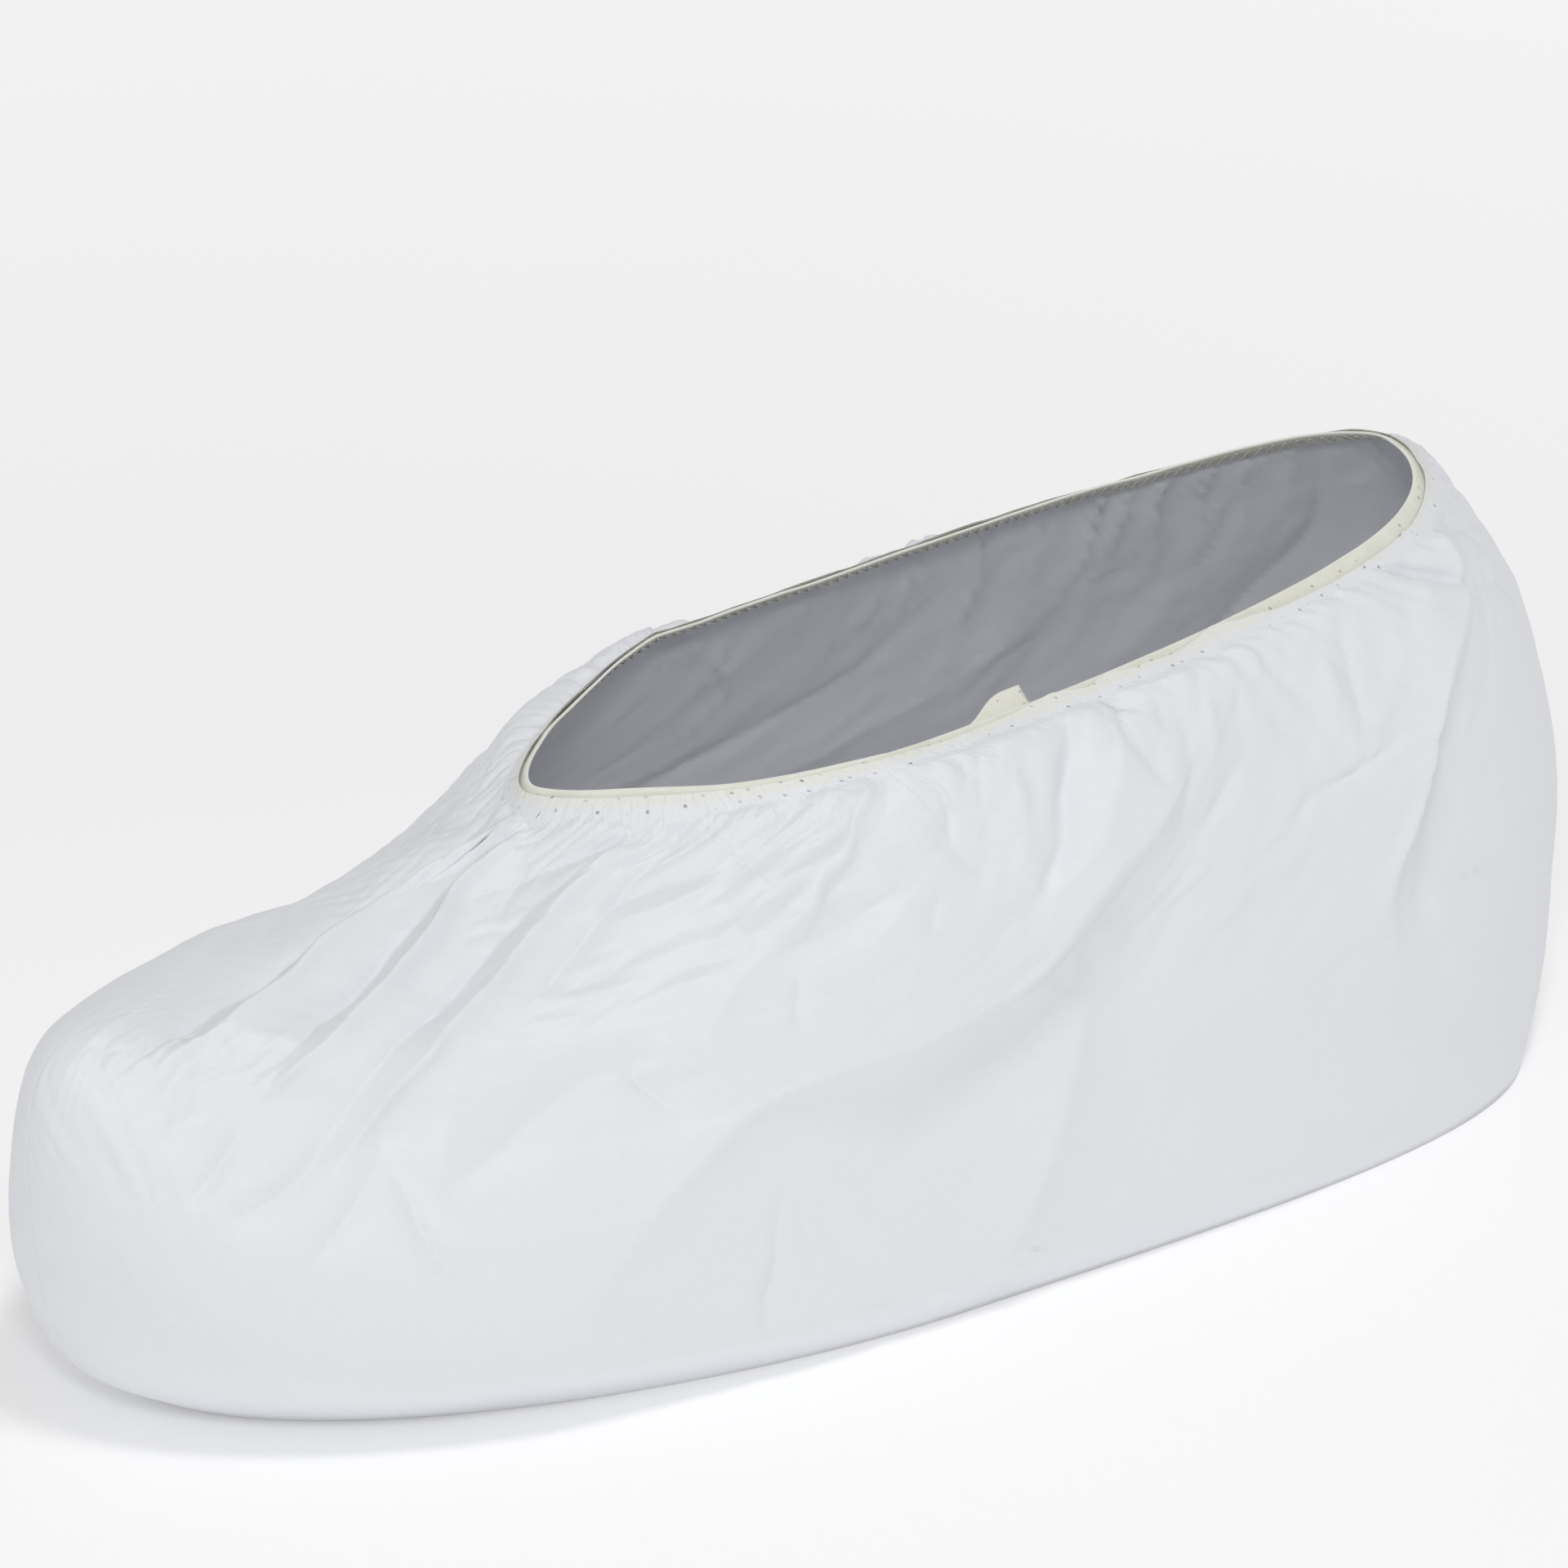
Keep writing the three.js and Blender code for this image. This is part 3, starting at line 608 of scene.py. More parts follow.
def blurred(field, rounds=2):
    """The field averaged over each place and its neighbours, as many times as there are rounds."""
    result = field.copy()
    for _ in range(rounds):
        result = (np.roll(result, 1, 1) + 2 * result + np.roll(result, -1, 1)) / 4
        result[1:-1] = (result[2:] + 2 * result[1:-1] + result[:-2]) / 4
    return result


def settled_wall(angle, drop, smooth, normals, below):
    """The wall of the whole cover after the cloth has settled."""
    wanted = wanted_heights(angle, drop, below, smooth, normals)
    amount = np.interp(angle, GATHER_ANGLES, GATHER_AMOUNT)
    spare = amount * (SPARE_NEAR * np.exp(-below / SPARE_NEAR_FADE)
                      + SPARE_FAR * np.exp(-below / SPARE_FAR_FADE)) + SPARE_EVERYWHERE
    displaced = None
    for every, rounds in SETTLE_LEVELS:
        pick = (slice(None, None, every), slice(None, None, every))
        start = wanted[pick][..., None] * normals[pick]
        if displaced is not None:
            rows, columns = start.shape[:2]
            finer = np.zeros_like(start)
            finer[::2, ::2] = displaced
            finer[::2, 1::2] = (displaced + np.roll(displaced, -1, 1)) / 2
            finer[1::2] = (finer[:-1:2] + finer[2::2]) / 2
            detail = wanted[pick] - dot(finer, normals[pick])
            start = finer + (detail - blurred(detail))[..., None] * normals[pick]
        points = settle_rounds(smooth[pick] + start, smooth[pick], normals[pick], below[pick],
                               wanted[pick], spare[pick], rounds)
        displaced = points - smooth[pick]
    sharp = wanted - blurred(wanted, PRESSED_ROUNDS)
    settled = dot(points - smooth, normals)
    height = settled + DRAWN_BACK * (wanted - settled) + PRESSED * sharp
    height = np.maximum(height, np.interp(below, *LOWEST))
    return points + (height - settled)[..., None] * normals


# ---- the panels ----
PANEL_COLUMNS = 500
TOE_CROWDING = 1.12  # above 1, the columns stand closer together at the toe
WALL_ROWS = ((0.0, 0.06, 16), (0.06, 0.2, 24), (0.2, 0.7, 72), (0.7, 1.0, 24))  # from drop, to drop, rows
SOLE_ROWS = 14
SEAM_HALF_GAP = 0.01
SEAM_DIP = (0.03, 0.5)  # depth and half-width of the groove at the seams
SEAM_DIP_ONSET = (0, 6)  # distances below the rim between which the groove grows to its depth
CRINKLES = ((0.06, 3.1, 12), (0.03, 1.6, 13))  # the finest unevenness: layers of noise
CRINKLE_ONSET = (3, 9)  # distances below the rim between which it sets in
CLEAR_FROM = 0.9  # drop from which the inner face stays a full thickness above the ground

# height of bare band above the cloth's raw edge, by angle
HEM_ANGLES = (-180, -165, -150, -138, -126, -118, -110, -100, -88, -75, -60, -45, -30, -15, 0,
              20, 60, 85, 95, 101, 104.5, 107, 109.5, 111, 114, 117, 119, 121, 124, 130, 145, 152, 165, 180)
HEM_BARE = (1.8, 1.5, 2.2, 2.6, 1.6, 0.5, 1.7, 1.2, 1.8, 1.5, 1.2, 1.6, 1.2, 1.7, 1.6,
            1.8, 1.6, 1.5, 2.2, 1.5, 0.1, 2.2, 0.3, 1.8, 2.6, 1.6, 0.1, 1.5, 2.8, 3.2, 3.4, 2.6, 1.5, 1.8)
# how far the raw edge stands off the band, by angle
LIFT_ANGLES = (-180, -150, -100, -40, -10, 20, 60, 92, 101, 104.5,
               108, 113, 119, 123, 130, 140, 150, 165, 180)
LIFT = (0.2, 0.3, 0.3, 0.25, 0.1, 0.15, 0.3, 0.4, 1.0, 0.2,
        1.2, 1.5, 0.3, 1.4, 0.9, 0.5, 0.4, 0.3, 0.2)
LIFT_MEAN = 0.55  # mean share of it that the raw edge's waves give
LIFT_WAVE = (0.75, 4.5, 51)  # how much that share varies: layer of noise
LIFT_FADE = (0.8, NEEDLE_ROWS[1])  # distances below the rim between which they die away


def hem_lift(angle, points, below):
    """How far the raw edge stands out in front of the stitches, in waves."""
    wave = LIFT_MEAN + lumps(points, LIFT_WAVE)
    return np.interp(angle, LIFT_ANGLES, LIFT) * wave * (1 - smoothstep(*LIFT_FADE, below))


def wall_grid():
    """Angles and drops of the wall's grid: the left half from toe to heel, then the right half back."""
    left = 180 * np.linspace(0, 1, PANEL_COLUMNS + 1) ** TOE_CROWDING
    rows = [np.linspace(low, high, count, endpoint=False) for low, high, count in WALL_ROWS]
    rows = np.concatenate(rows + [[1]])
    angle, drop = np.meshgrid(np.concatenate([left, -left[-2:0:-1]]), rows)
    hem = drop_at(angle, np.interp(angle, HEM_ANGLES, HEM_BARE))
    top = WALL_ROWS[0][1]
    return angle, np.where(drop < top, hem + drop * (1 - hem / top), drop)


def below_rim(angle, points):
    """Distance of each grid point below the band's top edge, down its own column."""
    steps = np.linalg.norm(np.diff(points, axis=0), axis=-1)
    first = np.linalg.norm(points[:1] - smooth_points(angle[:1], 0), axis=-1)
    return np.concatenate([first, first + np.cumsum(steps, axis=0)])


def make_wall():
    """The wall and sole, all round.

    Outer points, inner points, distances below and along the rim, and the outward directions of the
    outer and of the inner points.
    """
    angle, drop = wall_grid()
    smooth = smooth_points(angle, drop)
    normals = outward(angle, drop)
    normals[-1] = (0, 0, -1)
    below = below_rim(angle, smooth)
    wall = settled_wall(angle, drop, smooth, normals, below)
    crinkle = lumps(smooth, *CRINKLES) * smoothstep(*CRINKLE_ONSET, below)
    crinkle *= np.clip((1 - drop) / FLAT_EDGE, 0, 1)
    groove = np.exp(-(smooth[..., 1] / SEAM_DIP[1]) ** 2)
    dip = SEAM_DIP[0] * groove * smoothstep(*SEAM_DIP_ONSET, below)
    outer = wall + normals * (crinkle - dip + hem_lift(angle, smooth, below))[..., None]
    outer[..., 2] = np.maximum(outer[..., 2], 0)
    thickness = HEM_THICKNESS + (WALL_THICKNESS - HEM_THICKNESS) * smoothstep(*THICKENING, below)
    inner = outer - normals * thickness[..., None]
    inner[..., 2] = np.maximum(inner[..., 2], thickness * np.minimum(drop / CLEAR_FROM, 1))
    sole_angle, sole_drop = np.meshgrid(angle[0], 1 + np.arange(1, SOLE_ROWS + 1) / SOLE_ROWS)
    sole = smooth_points(sole_angle, sole_drop)
    inner_sole = sole + (0, 0, WALL_THICKNESS)
    sole_below = below[-1] + (sole_drop - 1) * RINGS[-1]["half_width"]
    outer = np.concatenate([outer, sole])
    inner = np.concatenate([inner, inner_sole])
    below = np.concatenate([below, sole_below])
    along = along_rim(np.concatenate([angle, sole_angle]))
    return outer, inner, below, along, face_normals(outer), face_normals(inner)


def panel_part(field, side):
    """The columns of one panel, from the toe to the heel."""
    if side > 0:
        return field[:, :PANEL_COLUMNS + 1].copy()
    return np.concatenate([field[:, :1], field[:, :PANEL_COLUMNS - 1:-1]], axis=1)


def apart(face, side):
    """Moves one panel's points off the other panel at the seams."""
    face[..., 1] += SEAM_HALF_GAP * side
    return face


def grid_index(rows, columns, start):
    """Numbers of a grid's points, counted from start."""
    return start + np.arange(rows * columns).reshape(rows, columns)


def grid_quads(index):
    """Faces between the points of a grid."""
    quads = np.stack([index[:-1, :-1], index[1:, :-1], index[1:, 1:], index[:-1, 1:]], -1)
    return quads.reshape(-1, 4).tolist()


def edge_strip(fine, coarse):
    """Triangles between an edge of a fine grid and the same edge of a grid with half as many points."""
    triangles = []
    for i in range(len(coarse) - 1):
        first, middle, last = fine[2 * i], fine[2 * i + 1], fine[2 * i + 2]
        triangles += [(first, middle, coarse[i]), (middle, coarse[i + 1], coarse[i]),
                      (middle, last, coarse[i + 1])]
    return triangles


def placed(name, data):
    """A new object in the scene."""
    thing = bpy.data.objects.new(name, data)
    bpy.context.scene.collection.objects.link(thing)
    return thing


def make_object(name, points, faces, material, attributes=None, normals=None):
    """Makes a smooth-shaded mesh object from points in millimetres."""
    mesh = bpy.data.meshes.new(name)
    mesh.from_pydata((points * MM).tolist(), [], faces)
    mesh.validate()
    for key, values in (attributes or {}).items():
        mesh.attributes.new(key, "FLOAT", "POINT").data.foreach_set("value", values.astype(np.float32))
    mesh.materials.append(material)
    mesh.shade_smooth()
    if normals is not None:
        mesh.normals_split_custom_set_from_vertices(normals.tolist())
    return placed(name, mesh)


def face_normals(face):
    """Outward directions of a closed wall's points, continuous across the seams."""
    padded = np.concatenate([face[:1], face, face[-1:]])
    return unit(np.cross(padded[2:] - padded[:-2], np.roll(face, -1, 1) - np.roll(face, 1, 1)))


def make_panel(name, side, wall, material):
    """One panel: its fine outer face, its coarser inner face and the strips that join them."""
    outer, inner, below, along, facing, inner_facing = (panel_part(field, side) for field in wall)
    outer = apart(outer, side)
    inner = apart(inner[::2, ::2], side)
    fine = grid_index(*outer.shape[:2], 0)
    coarse = grid_index(*inner.shape[:2], fine.size)
    faces = grid_quads(fine) + [quad[::-1] for quad in grid_quads(coarse)]
    faces += edge_strip(fine[0, ::-1], coarse[0, ::-1])
    faces += edge_strip(fine[-1], coarse[-1])
    faces += edge_strip(fine[:, 0], coarse[:, 0])
    faces += edge_strip(fine[::-1, -1], coarse[::-1, -1])
    if side < 0:
        faces = [face[::-1] for face in faces]
    points, normals = (np.concatenate([fine_field.reshape(-1, 3), coarse_field.reshape(-1, 3)])
                       for fine_field, coarse_field in ((outer, inner), (facing, -inner_facing[::2, ::2])))
    attributes = {key: np.concatenate([field.ravel(), field[::2, ::2].ravel()])
                  for key, field in (("below_rim", below), ("along_rim", along))}
    return make_object(name, points, faces, material, attributes, normals)


# ---- the band ----
BAND_COLUMNS = 900
BAND_ROUNDING = 0.18  # how far its corners are cut
BAND_FACE_ROWS = 8
BAND_BACK = 0.12  # mean distance by which it hangs back from the cloth, past the gap
BAND_SWAY = (0.2, 9, 32)  # how much that varies: layer of noise
BAND_RISE = (0.25, 12, 31)  # how it wanders up and down: layer of noise


def band_section():
    """Outline of a strip with cut corners: (share of its width down, depth behind its face)."""
    round_in = BAND_ROUNDING / BAND_WIDTH
    near, far = BAND_ROUNDING, BAND_THICKNESS - BAND_ROUNDING
    down = np.linspace(round_in, 1 - round_in, BAND_FACE_ROWS)
    face = [(d, 0) for d in down]
    back = [(d, BAND_THICKNESS) for d in down[::-1]]
    return np.array(face + [(1, near), (1, far)] + back + [(0, far), (0, near)])


def strip_points(angle, rise, depth, lean):
    """Points of a strip that follows the smooth wall: one outline at each angle.

    lean is how many degrees an outline's lower edge lies behind its upper one.
    """
    section = band_section()
    drop = drop_at(angle, BAND_WIDTH)
    angles = angle[:, None] - lean[:, None] * section[None, :, 0]
    points = smooth_points(angles, drop[:, None] * section[None, :, 0])
    normals = outward(angles, drop[:, None] * section[None, :, 0])
    upward = unit(smooth_points(angle, 0) - smooth_points(angle, drop))
    points = points - normals * (depth[:, None] + section[None, :, 1])[..., None]
    return points + upward[:, None, :] * rise[:, None, None]


def make_strip(name, points, along, closed, material):
    """A closed or open strip from its outlines, with distances below and along the rim."""
    rows, columns = points.shape[:2]
    index = grid_index(rows, columns, 0)
    ring = np.concatenate([index, index[:, :1]], axis=1)
    if closed:
        ring = np.concatenate([ring, ring[:1]])
    faces = grid_quads(ring)
    if not closed:
        faces += [index[0].tolist(), index[-1, ::-1].tolist()]
    below = np.tile(BAND_WIDTH * band_section()[:, 0], rows)
    attributes = {"below_rim": below, "along_rim": np.repeat(along, columns)}
    return make_object(name, points.reshape(-1, 3), faces, material, attributes)


def band_depth(angle):
    """How far the band's outer face lies behind the smooth wall."""
    return HEM_THICKNESS + BAND_GAP + BAND_BACK + lumps(smooth_points(angle, 0), BAND_SWAY)


def make_band(name, material):
    """The elastic band, all round the mouth."""
    angle = angle_at(np.arange(BAND_COLUMNS) / BAND_COLUMNS * RIM_LENGTH)
    rise = lumps(smooth_points(angle, 0), BAND_RISE)
    points = strip_points(angle, rise, band_depth(angle), np.zeros_like(angle))
    return make_strip(name, points, along_rim(angle), True, material)


# from and to are angles, climbs are shares of the length between which it rises, back is how far it hangs
# behind the band at its start and how much more at its end, and lean slants its cut edge, in degrees
LOOSE_END = {"from": 91, "to": 104.5, "rise": 5.5, "climbs": (0.42, 0.9), "back": (0.25, 0.5), "lean": 1.6,
             "columns": 60}


def make_loose_end(name, material):
    """The band's loose end, which lies behind the band and climbs above the rim."""
    part = np.linspace(0, 1, LOOSE_END["columns"] + 1)
    angle = LOOSE_END["from"] + (LOOSE_END["to"] - LOOSE_END["from"]) * part
    climbed = smoothstep(*LOOSE_END["climbs"], part)
    back = LOOSE_END["back"][0] + LOOSE_END["back"][1] * part
    depth = HEM_THICKNESS + 2 * BAND_GAP + BAND_THICKNESS + back
    points = strip_points(angle, LOOSE_END["rise"] * climbed, depth, LOOSE_END["lean"] * climbed)
    return make_strip(name, points, along_rim(angle), False, material)


# ---- overlock stitches on the band's inner face ----
STITCH_STEP = 1.15  # millimetres along the rim from one side of the zigzag to the other
STITCH_SPAN = (0.9, 5.6)  # the zigzag's ends, as distances below the rim
STITCH_RADIUS = 0.14
STITCH_SIDES = 5
STITCH_BENDS = 4  # straight pieces in one leg of the zigzag
STITCH_INSET = 0.04  # share of the span that the thread leaves free at each end
STITCH_LOOSENESS = (0.5, 2.5, 71)  # how unevenly it lies up and down: layer of noise
STITCH_ARCH = 0.9  # how far it stands off the band between its ends, in radii


def make_stitches(name, material):
    """One thread that zigzags over the band's inner face all round the mouth."""
    legs = int(RIM_LENGTH / STITCH_STEP / 2) * 2
    count = legs * STITCH_BENDS
    turn = np.arange(count) / STITCH_BENDS
    angle = angle_at(turn / legs * RIM_LENGTH)
    swing = 0.5 - 0.5 * np.cos(np.pi * turn)
    share = STITCH_INSET + (1 - 2 * STITCH_INSET) * swing
    below = STITCH_SPAN[0] + (STITCH_SPAN[1] - STITCH_SPAN[0]) * share
    below = below + lumps(smooth_points(angle, 0), STITCH_LOOSENESS)
    drop = drop_at(angle, below)
    arch = STITCH_RADIUS * (1 + STITCH_ARCH * np.sin(np.pi * turn) ** 2)
    depth = band_depth(angle) + BAND_THICKNESS + arch
    facing = outward(angle, drop)
    middle = smooth_points(angle, drop) - facing * depth[:, None]
    along = unit(np.roll(middle, -1, 0) - np.roll(middle, 1, 0))
    side = np.cross(along, facing)
    around = np.arange(STITCH_SIDES) / STITCH_SIDES * 2 * np.pi
    tube = (middle[:, None] + STITCH_RADIUS * (np.cos(around)[:, None] * side[:, None]
                                               + np.sin(around)[:, None] * facing[:, None]))
    index = grid_index(count, STITCH_SIDES, 0)
    index = np.concatenate([index, index[:1]])
    index = np.concatenate([index, index[:, :1]], axis=1)
    return make_object(name, tube.reshape(-1, 3), grid_quads(index), material)


# ---- materials ----
class Nodes:
    """Short names for building one material's node tree."""

    def __init__(self, name):
        self.material = bpy.data.materials.new(name)
        self.material.use_nodes = True
        self.tree = self.material.node_tree
        self.shader = self.tree.nodes["Principled BSDF"]

    def put(self, node, inputs):
        """Links or sets some of a node's inputs, given by name or by number."""
        for key, value in inputs.items():
            if isinstance(value, bpy.types.NodeSocket):
                self.tree.links.new(value, node.inputs[key])
            else:
                node.inputs[key].default_value = value

    def add(self, kind, inputs=None, **settings):
        node = self.tree.nodes.new(kind)
        for key, value in settings.items():
            setattr(node, key, value)
        self.put(node, inputs or {})
        return node

    def place(self):
        return self.add("ShaderNodeTexCoord").outputs["Object"]

    def noise(self, scale, detail, coordinates):
        inputs = {"Vector": coordinates, "Scale": scale, "Detail": detail}
        return self.add("ShaderNodeTexNoise", inputs).outputs["Fac"]

    def mix(self, factor, first, second):
        """A blend of two colours: a colour Mix node has them in its inputs 6 and 7 and its output 2."""
        return self.add("ShaderNodeMix", {0: factor, 6: first, 7: second}, data_type="RGBA").outputs[2]

    def math(self, operation, *values):
        return self.add("ShaderNodeMath", dict(enumerate(values)), operation=operation).outputs[0]

    def bump(self, height, strength, distance, normal=None):
        inputs = {"Height": height, "Strength": abs(strength), "Distance": distance}
        if normal is not None:
            inputs["Normal"] = normal
        return self.add("ShaderNodeBump", inputs, invert=strength < 0).outputs["Normal"]

    def span(self, value, low, high, to_low, to_high):
        """The value moved from one range to another and kept inside it."""
        return self.add("ShaderNodeMapRange", {"Value": value, "From Min": low, "From Max": high,
                                               "To Min": to_low, "To Max": to_high}).outputs["Result"]


HOLE_SPACING = 4.1  # millimetres between two needle holes of a row
HOLE_RADIUS = (0.12, 0.34)  # where a hole is fully dark, and where it ends
HOLE_SCATTER = (1.5, 0.6)  # how far a hole strays along its row, and across it
HOLE_SEEDS = (3.7, 8.1)
# how dark the painted shade inside the needle holes is
HOLE_PAINTED_SHADE = 0.75


def needle_holes(nodes, along, below):
    """1 in the needle holes of both rows and 0 elsewhere, some deep and some closed."""
    cell = nodes.math("DIVIDE", along, HOLE_SPACING)
    number = nodes.math("FLOOR", cell)
    centred = nodes.math("SUBTRACT", nodes.math("SUBTRACT", cell, number), 0.5)
    across = nodes.math("MULTIPLY", centred, HOLE_SPACING)
    both = 0.0
    for row, seed in zip(NEEDLE_ROWS, HOLE_SEEDS):
        random = nodes.add("ShaderNodeTexWhiteNoise", {"W": nodes.math("ADD", number, seed)},
                           noise_dimensions="1D")
        parts = nodes.add("ShaderNodeSeparateXYZ", {"Vector": random.outputs["Color"]}).outputs
        x = nodes.math("SUBTRACT", across, nodes.span(parts["X"], 0, 1, -HOLE_SCATTER[0], HOLE_SCATTER[0]))
        y = nodes.math("SUBTRACT", nodes.math("SUBTRACT", below, row),
                       nodes.span(parts["Y"], 0, 1, -HOLE_SCATTER[1], HOLE_SCATTER[1]))
        squares = nodes.math("MULTIPLY", x, x), nodes.math("MULTIPLY", y, y)
        distance = nodes.math("SQRT", nodes.math("ADD", *squares))
        depth = nodes.span(parts["Z"], 0.35, 1, 0.1, 0.9)
        hole = nodes.math("MULTIPLY", nodes.span(distance, *HOLE_RADIUS, 1, 0), depth)
        both = nodes.math("MAXIMUM", hole, both)
    return both


def rim_lengths(nodes):
    """Distances along and below the rim, kept with each point of the mesh."""
    return [nodes.add("ShaderNodeAttribute", attribute_name=name).outputs["Fac"]
            for name in ("along_rim", "below_rim")]


TINT_ENDS = (2.5, 4.6)  # distances below the rim between which the cream of the band stops showing through
RIB_FADE = (NEEDLE_ROWS[1] + 1, NEEDLE_ROWS[1] + 12)  # distances below the rim between which ribs die away
RIB_SIDES = (50, 120)  # distances along the rim from the toe between which they get fainter


def cloth_material():
    """White film-faced nonwoven: cool white, faint mottling, fine grain, a soft sheen and a stitched rim
    whose needle holes hold painted shade.
    """
    nodes = Nodes("white_nonwoven")
    place = nodes.place()
    along, below = rim_lengths(nodes)
    mottle = nodes.noise(900, 3, place)
    clouds = nodes.noise(60, 2, place)
    plain = nodes.mix(nodes.span(mottle, 0.3, 0.7, 0, 1), (0.815, 0.825, 0.86, 1), (0.83, 0.84, 0.875, 1))
    shaded = nodes.mix(nodes.span(clouds, 0.35, 0.65, 0, 0.3), plain, (0.81, 0.82, 0.86, 1))
    ragged = nodes.math("ADD", below, nodes.span(nodes.noise(500, 3, place), 0.3, 0.7, -0.8, 0.8))
    tint = nodes.span(ragged, *TINT_ENDS, 0.75, 0)
    stitched = nodes.mix(tint, shaded, (0.80, 0.81, 0.73, 1))
    holes = needle_holes(nodes, along, below)
    # the needle holes are painted dark: painted shade inside the holes, darker in the deeper ones
    colour = nodes.mix(nodes.math("MULTIPLY", holes, HOLE_PAINTED_SHADE), stitched, (0.22, 0.22, 0.2, 1))
    ribbed = {"X": nodes.math("MULTIPLY", along, 0.9), "Y": nodes.math("MULTIPLY", below, 0.22)}
    ribbed_at = nodes.add("ShaderNodeCombineXYZ", ribbed).outputs["Vector"]
    gathered = nodes.math("MULTIPLY", nodes.span(below, *RIB_FADE, 1, 0),
                          nodes.span(nodes.math("ABSOLUTE", along), *RIB_SIDES, 1, 0.35))
    ribs = nodes.math("MULTIPLY", nodes.noise(1, 2, ribbed_at), gathered)
    grain = nodes.noise(2600, 2, place)
    film = nodes.noise(420, 3, place)
    facing = nodes.bump(grain, 0.08, 0.0002)
    facing = nodes.bump(film, 0.16, 0.0003, facing)
    facing = nodes.bump(ribs, 0.8, 0.0006, facing)
    facing = nodes.bump(holes, -0.9, 0.0003, facing)
    nodes.put(nodes.shader, {"Base Color": colour, "Normal": facing, "Sheen Weight": 0.1,
                             "Roughness": nodes.span(mottle, 0.3, 0.7, 0.42, 0.52)})
    return nodes.material


def elastic_material():
    """Flat cream rubber elastic: satin, slightly cloudy, pierced by the needles, with painted shade in the
    needle holes and a painted highlight along its top edge.
    """
    nodes = Nodes("cream_rubber")
    place = nodes.place()
    along, below = rim_lengths(nodes)
    cloud = nodes.noise(300, 3, place)
    rubber = nodes.mix(nodes.span(cloud, 0.3, 0.7, 0, 1), (0.80, 0.80, 0.68, 1), (0.85, 0.85, 0.75, 1))
    # the band's top edge is painted lighter: a painted highlight where its upper face catches the light from
    # above
    edge = nodes.mix(nodes.span(below, 0.1, 0.5, 1, 0), rubber, (0.90, 0.90, 0.82, 1))
    holes = needle_holes(nodes, along, below)
    # the needle holes are painted dark: painted shade inside the holes, darker in the deeper ones
    colour = nodes.mix(nodes.math("MULTIPLY", holes, HOLE_PAINTED_SHADE), edge, (0.25, 0.25, 0.2, 1))
    grain = nodes.noise(2000, 2, place)
    facing = nodes.bump(grain, 0.15, 0.0002)
    facing = nodes.bump(holes, -0.9, 0.0003, facing)
    nodes.put(nodes.shader, {"Base Color": colour, "Normal": facing,
                             "Roughness": nodes.span(cloud, 0.3, 0.7, 0.36, 0.5), "Subsurface Weight": 0.3,
                             "Subsurface Scale": 1, "Subsurface Radius": (0.002, 0.002, 0.0015)})
    return nodes.material


def thread_material():
    """Pale sewing thread."""
    nodes = Nodes("pale_thread")
    place = nodes.place()
    colour = nodes.mix(nodes.noise(1500, 2, place), (0.80, 0.80, 0.74, 1), (0.88, 0.88, 0.84, 1))
    nodes.put(nodes.shader, {"Base Color": colour, "Roughness": 0.7})
    return nodes.material


FLOOR_GLOW_AT = (0.25, 0.9)  # distances from the cover in metres between which the floor starts to glow more
FLOOR_GLOW = (0.15, 0.32)  # its strength nearer than that and further away


def floor_material():
    """A pale floor that glows faintly, more so away from the cover, so that it looks white."""
    nodes = Nodes("pale_floor")
    place = nodes.place()
    cloud = nodes.noise(3, 2, place)
    colour = nodes.mix(cloud, (0.93, 0.93, 0.93, 1), (0.95, 0.95, 0.95, 1))
    away = nodes.add("ShaderNodeVectorMath", {0: place}, operation="LENGTH").outputs["Value"]
    nodes.put(nodes.shader, {"Base Color": colour, "Roughness": 0.8, "Emission Color": (1, 1, 1, 1),
                             "Emission Strength": nodes.span(away, *FLOOR_GLOW_AT, *FLOOR_GLOW)})
    return nodes.material


cloth = cloth_material()
elastic = elastic_material()
wall = make_wall()
left_panel = make_panel("left_panel_cloth", 1, wall, cloth)
right_panel = make_panel("right_panel_cloth", -1, wall, cloth)
band = make_band("elastic_band_rubber", elastic)
loose_end = make_loose_end("elastic_end_rubber", elastic)
stitches = make_stitches("elastic_band_stitches", thread_material())
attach(stitches, "root")
for piece, node, slot in ((left_panel, "left_panel", "cloth"), (right_panel, "right_panel", "cloth"),
                          (band, "elastic_band", "elastic"), (loose_end, "elastic_end", "elastic")):
    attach(piece, "root")
    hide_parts(node)

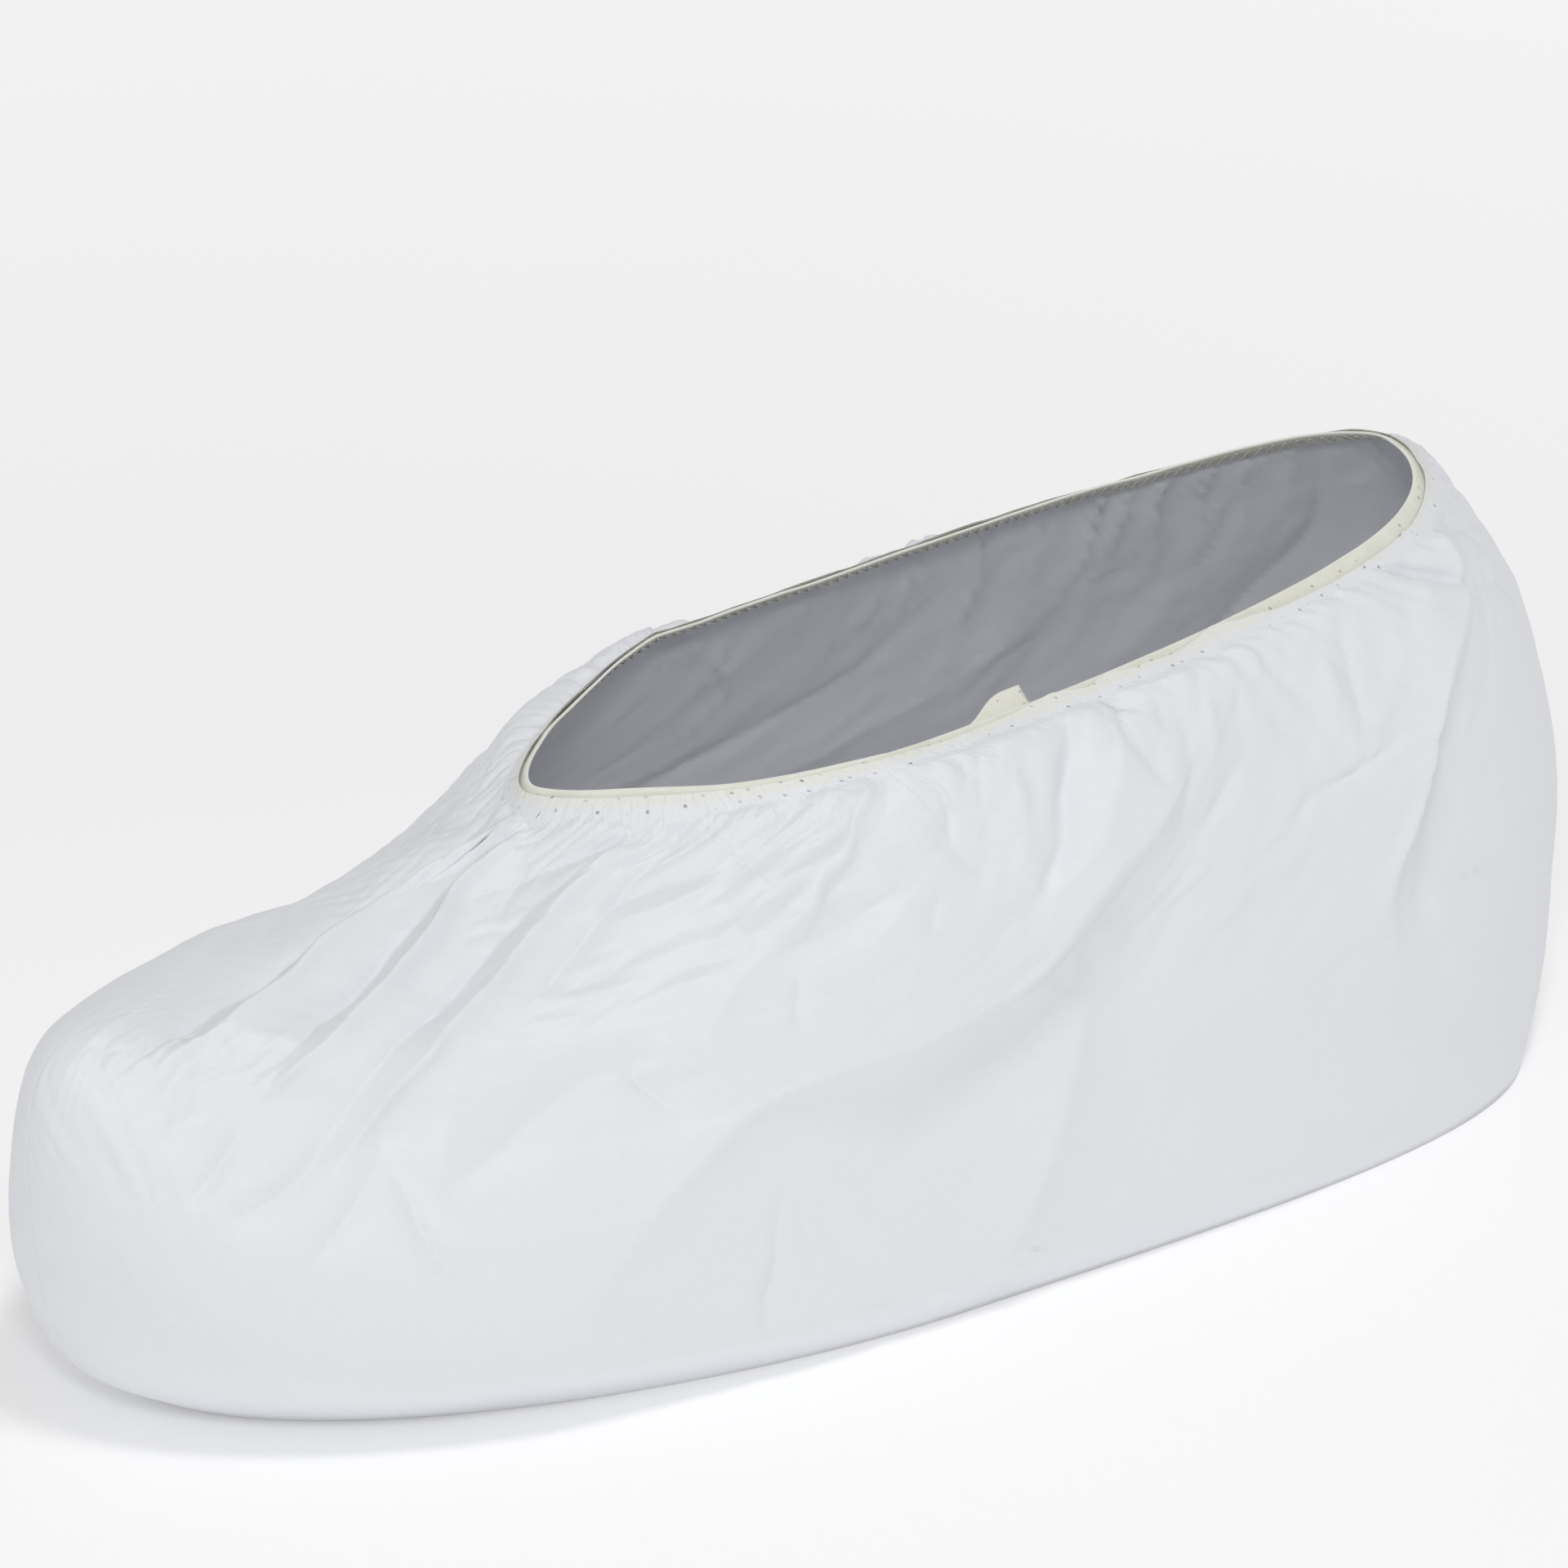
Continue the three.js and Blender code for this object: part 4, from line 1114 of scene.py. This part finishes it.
# ---- floor, light and camera ----
FLOOR_HALF = 6.0  # metres
FLOOR_CLEARANCE = 0.0001  # metres between the floor and the sole
floor_mesh = bpy.data.meshes.new("floor")
floor_z = CAD_BOX[0][2] - FLOOR_CLEARANCE
corners = [(x * FLOOR_HALF, y * FLOOR_HALF, floor_z) for x, y in ((-1, -1), (1, -1), (1, 1), (-1, 1))]
floor_mesh.from_pydata(corners, [], [(0, 1, 2, 3)])
floor_mesh.materials.append(floor_material())
placed("floor", floor_mesh)

VIEW_AZIMUTH = 143.5
VIEW_ELEVATION = 23.0
VIEW_DISTANCE = 1704.0
VIEW_TARGET = (5.8, 0, 81)
SENSOR = 36.0
LENS = 216.4
FAR_CLIP = 50  # metres


def direction(azimuth, elevation):
    """Unit vector from the object towards a viewer or a light."""
    across, up = math.radians(azimuth), math.radians(elevation)
    return np.array([math.sin(across) * math.cos(up), -math.cos(across) * math.cos(up), math.sin(up)])


def look_at(thing, place, target):
    """Puts a camera or light at a place, in metres, facing a target."""
    thing.location = place
    thing.rotation_euler = (Vector(target) - Vector(place)).to_track_quat("-Z", "Y").to_euler()


camera_data = bpy.data.cameras.new("camera")
camera_data.sensor_width = SENSOR
camera_data.lens = LENS
camera_data.clip_end = FAR_CLIP
camera = placed("camera", camera_data)
target = np.array(VIEW_TARGET) * MM
look_at(camera, target + direction(VIEW_AZIMUTH, VIEW_ELEVATION) * VIEW_DISTANCE * MM, target)
bpy.context.scene.camera = camera

LIGHT_TARGET = (0, 0, 0.04)
# name, azimuth, elevation, distance and width in metres, power in watts
LIGHTS = (
    ("key", 144, 36, 1.8, 0.25, 5.1),
    ("top", 180, 76, 1.8, 0.4, 6.8),
)
for name, azimuth, elevation, distance, width, power in LIGHTS:
    light_data = bpy.data.lights.new(name, "AREA")
    light_data.shape = "SQUARE"
    light_data.size = width
    light_data.energy = power
    look_at(placed(name, light_data), direction(azimuth, elevation) * distance, LIGHT_TARGET)

world = bpy.data.worlds.new("studio")
world.use_nodes = True
background = world.node_tree.nodes["Background"]
background.inputs["Color"].default_value = (1, 1, 1, 1)
background.inputs["Strength"].default_value = 0.5
bpy.context.scene.world = world
bpy.context.scene.view_settings.view_transform = "Standard"
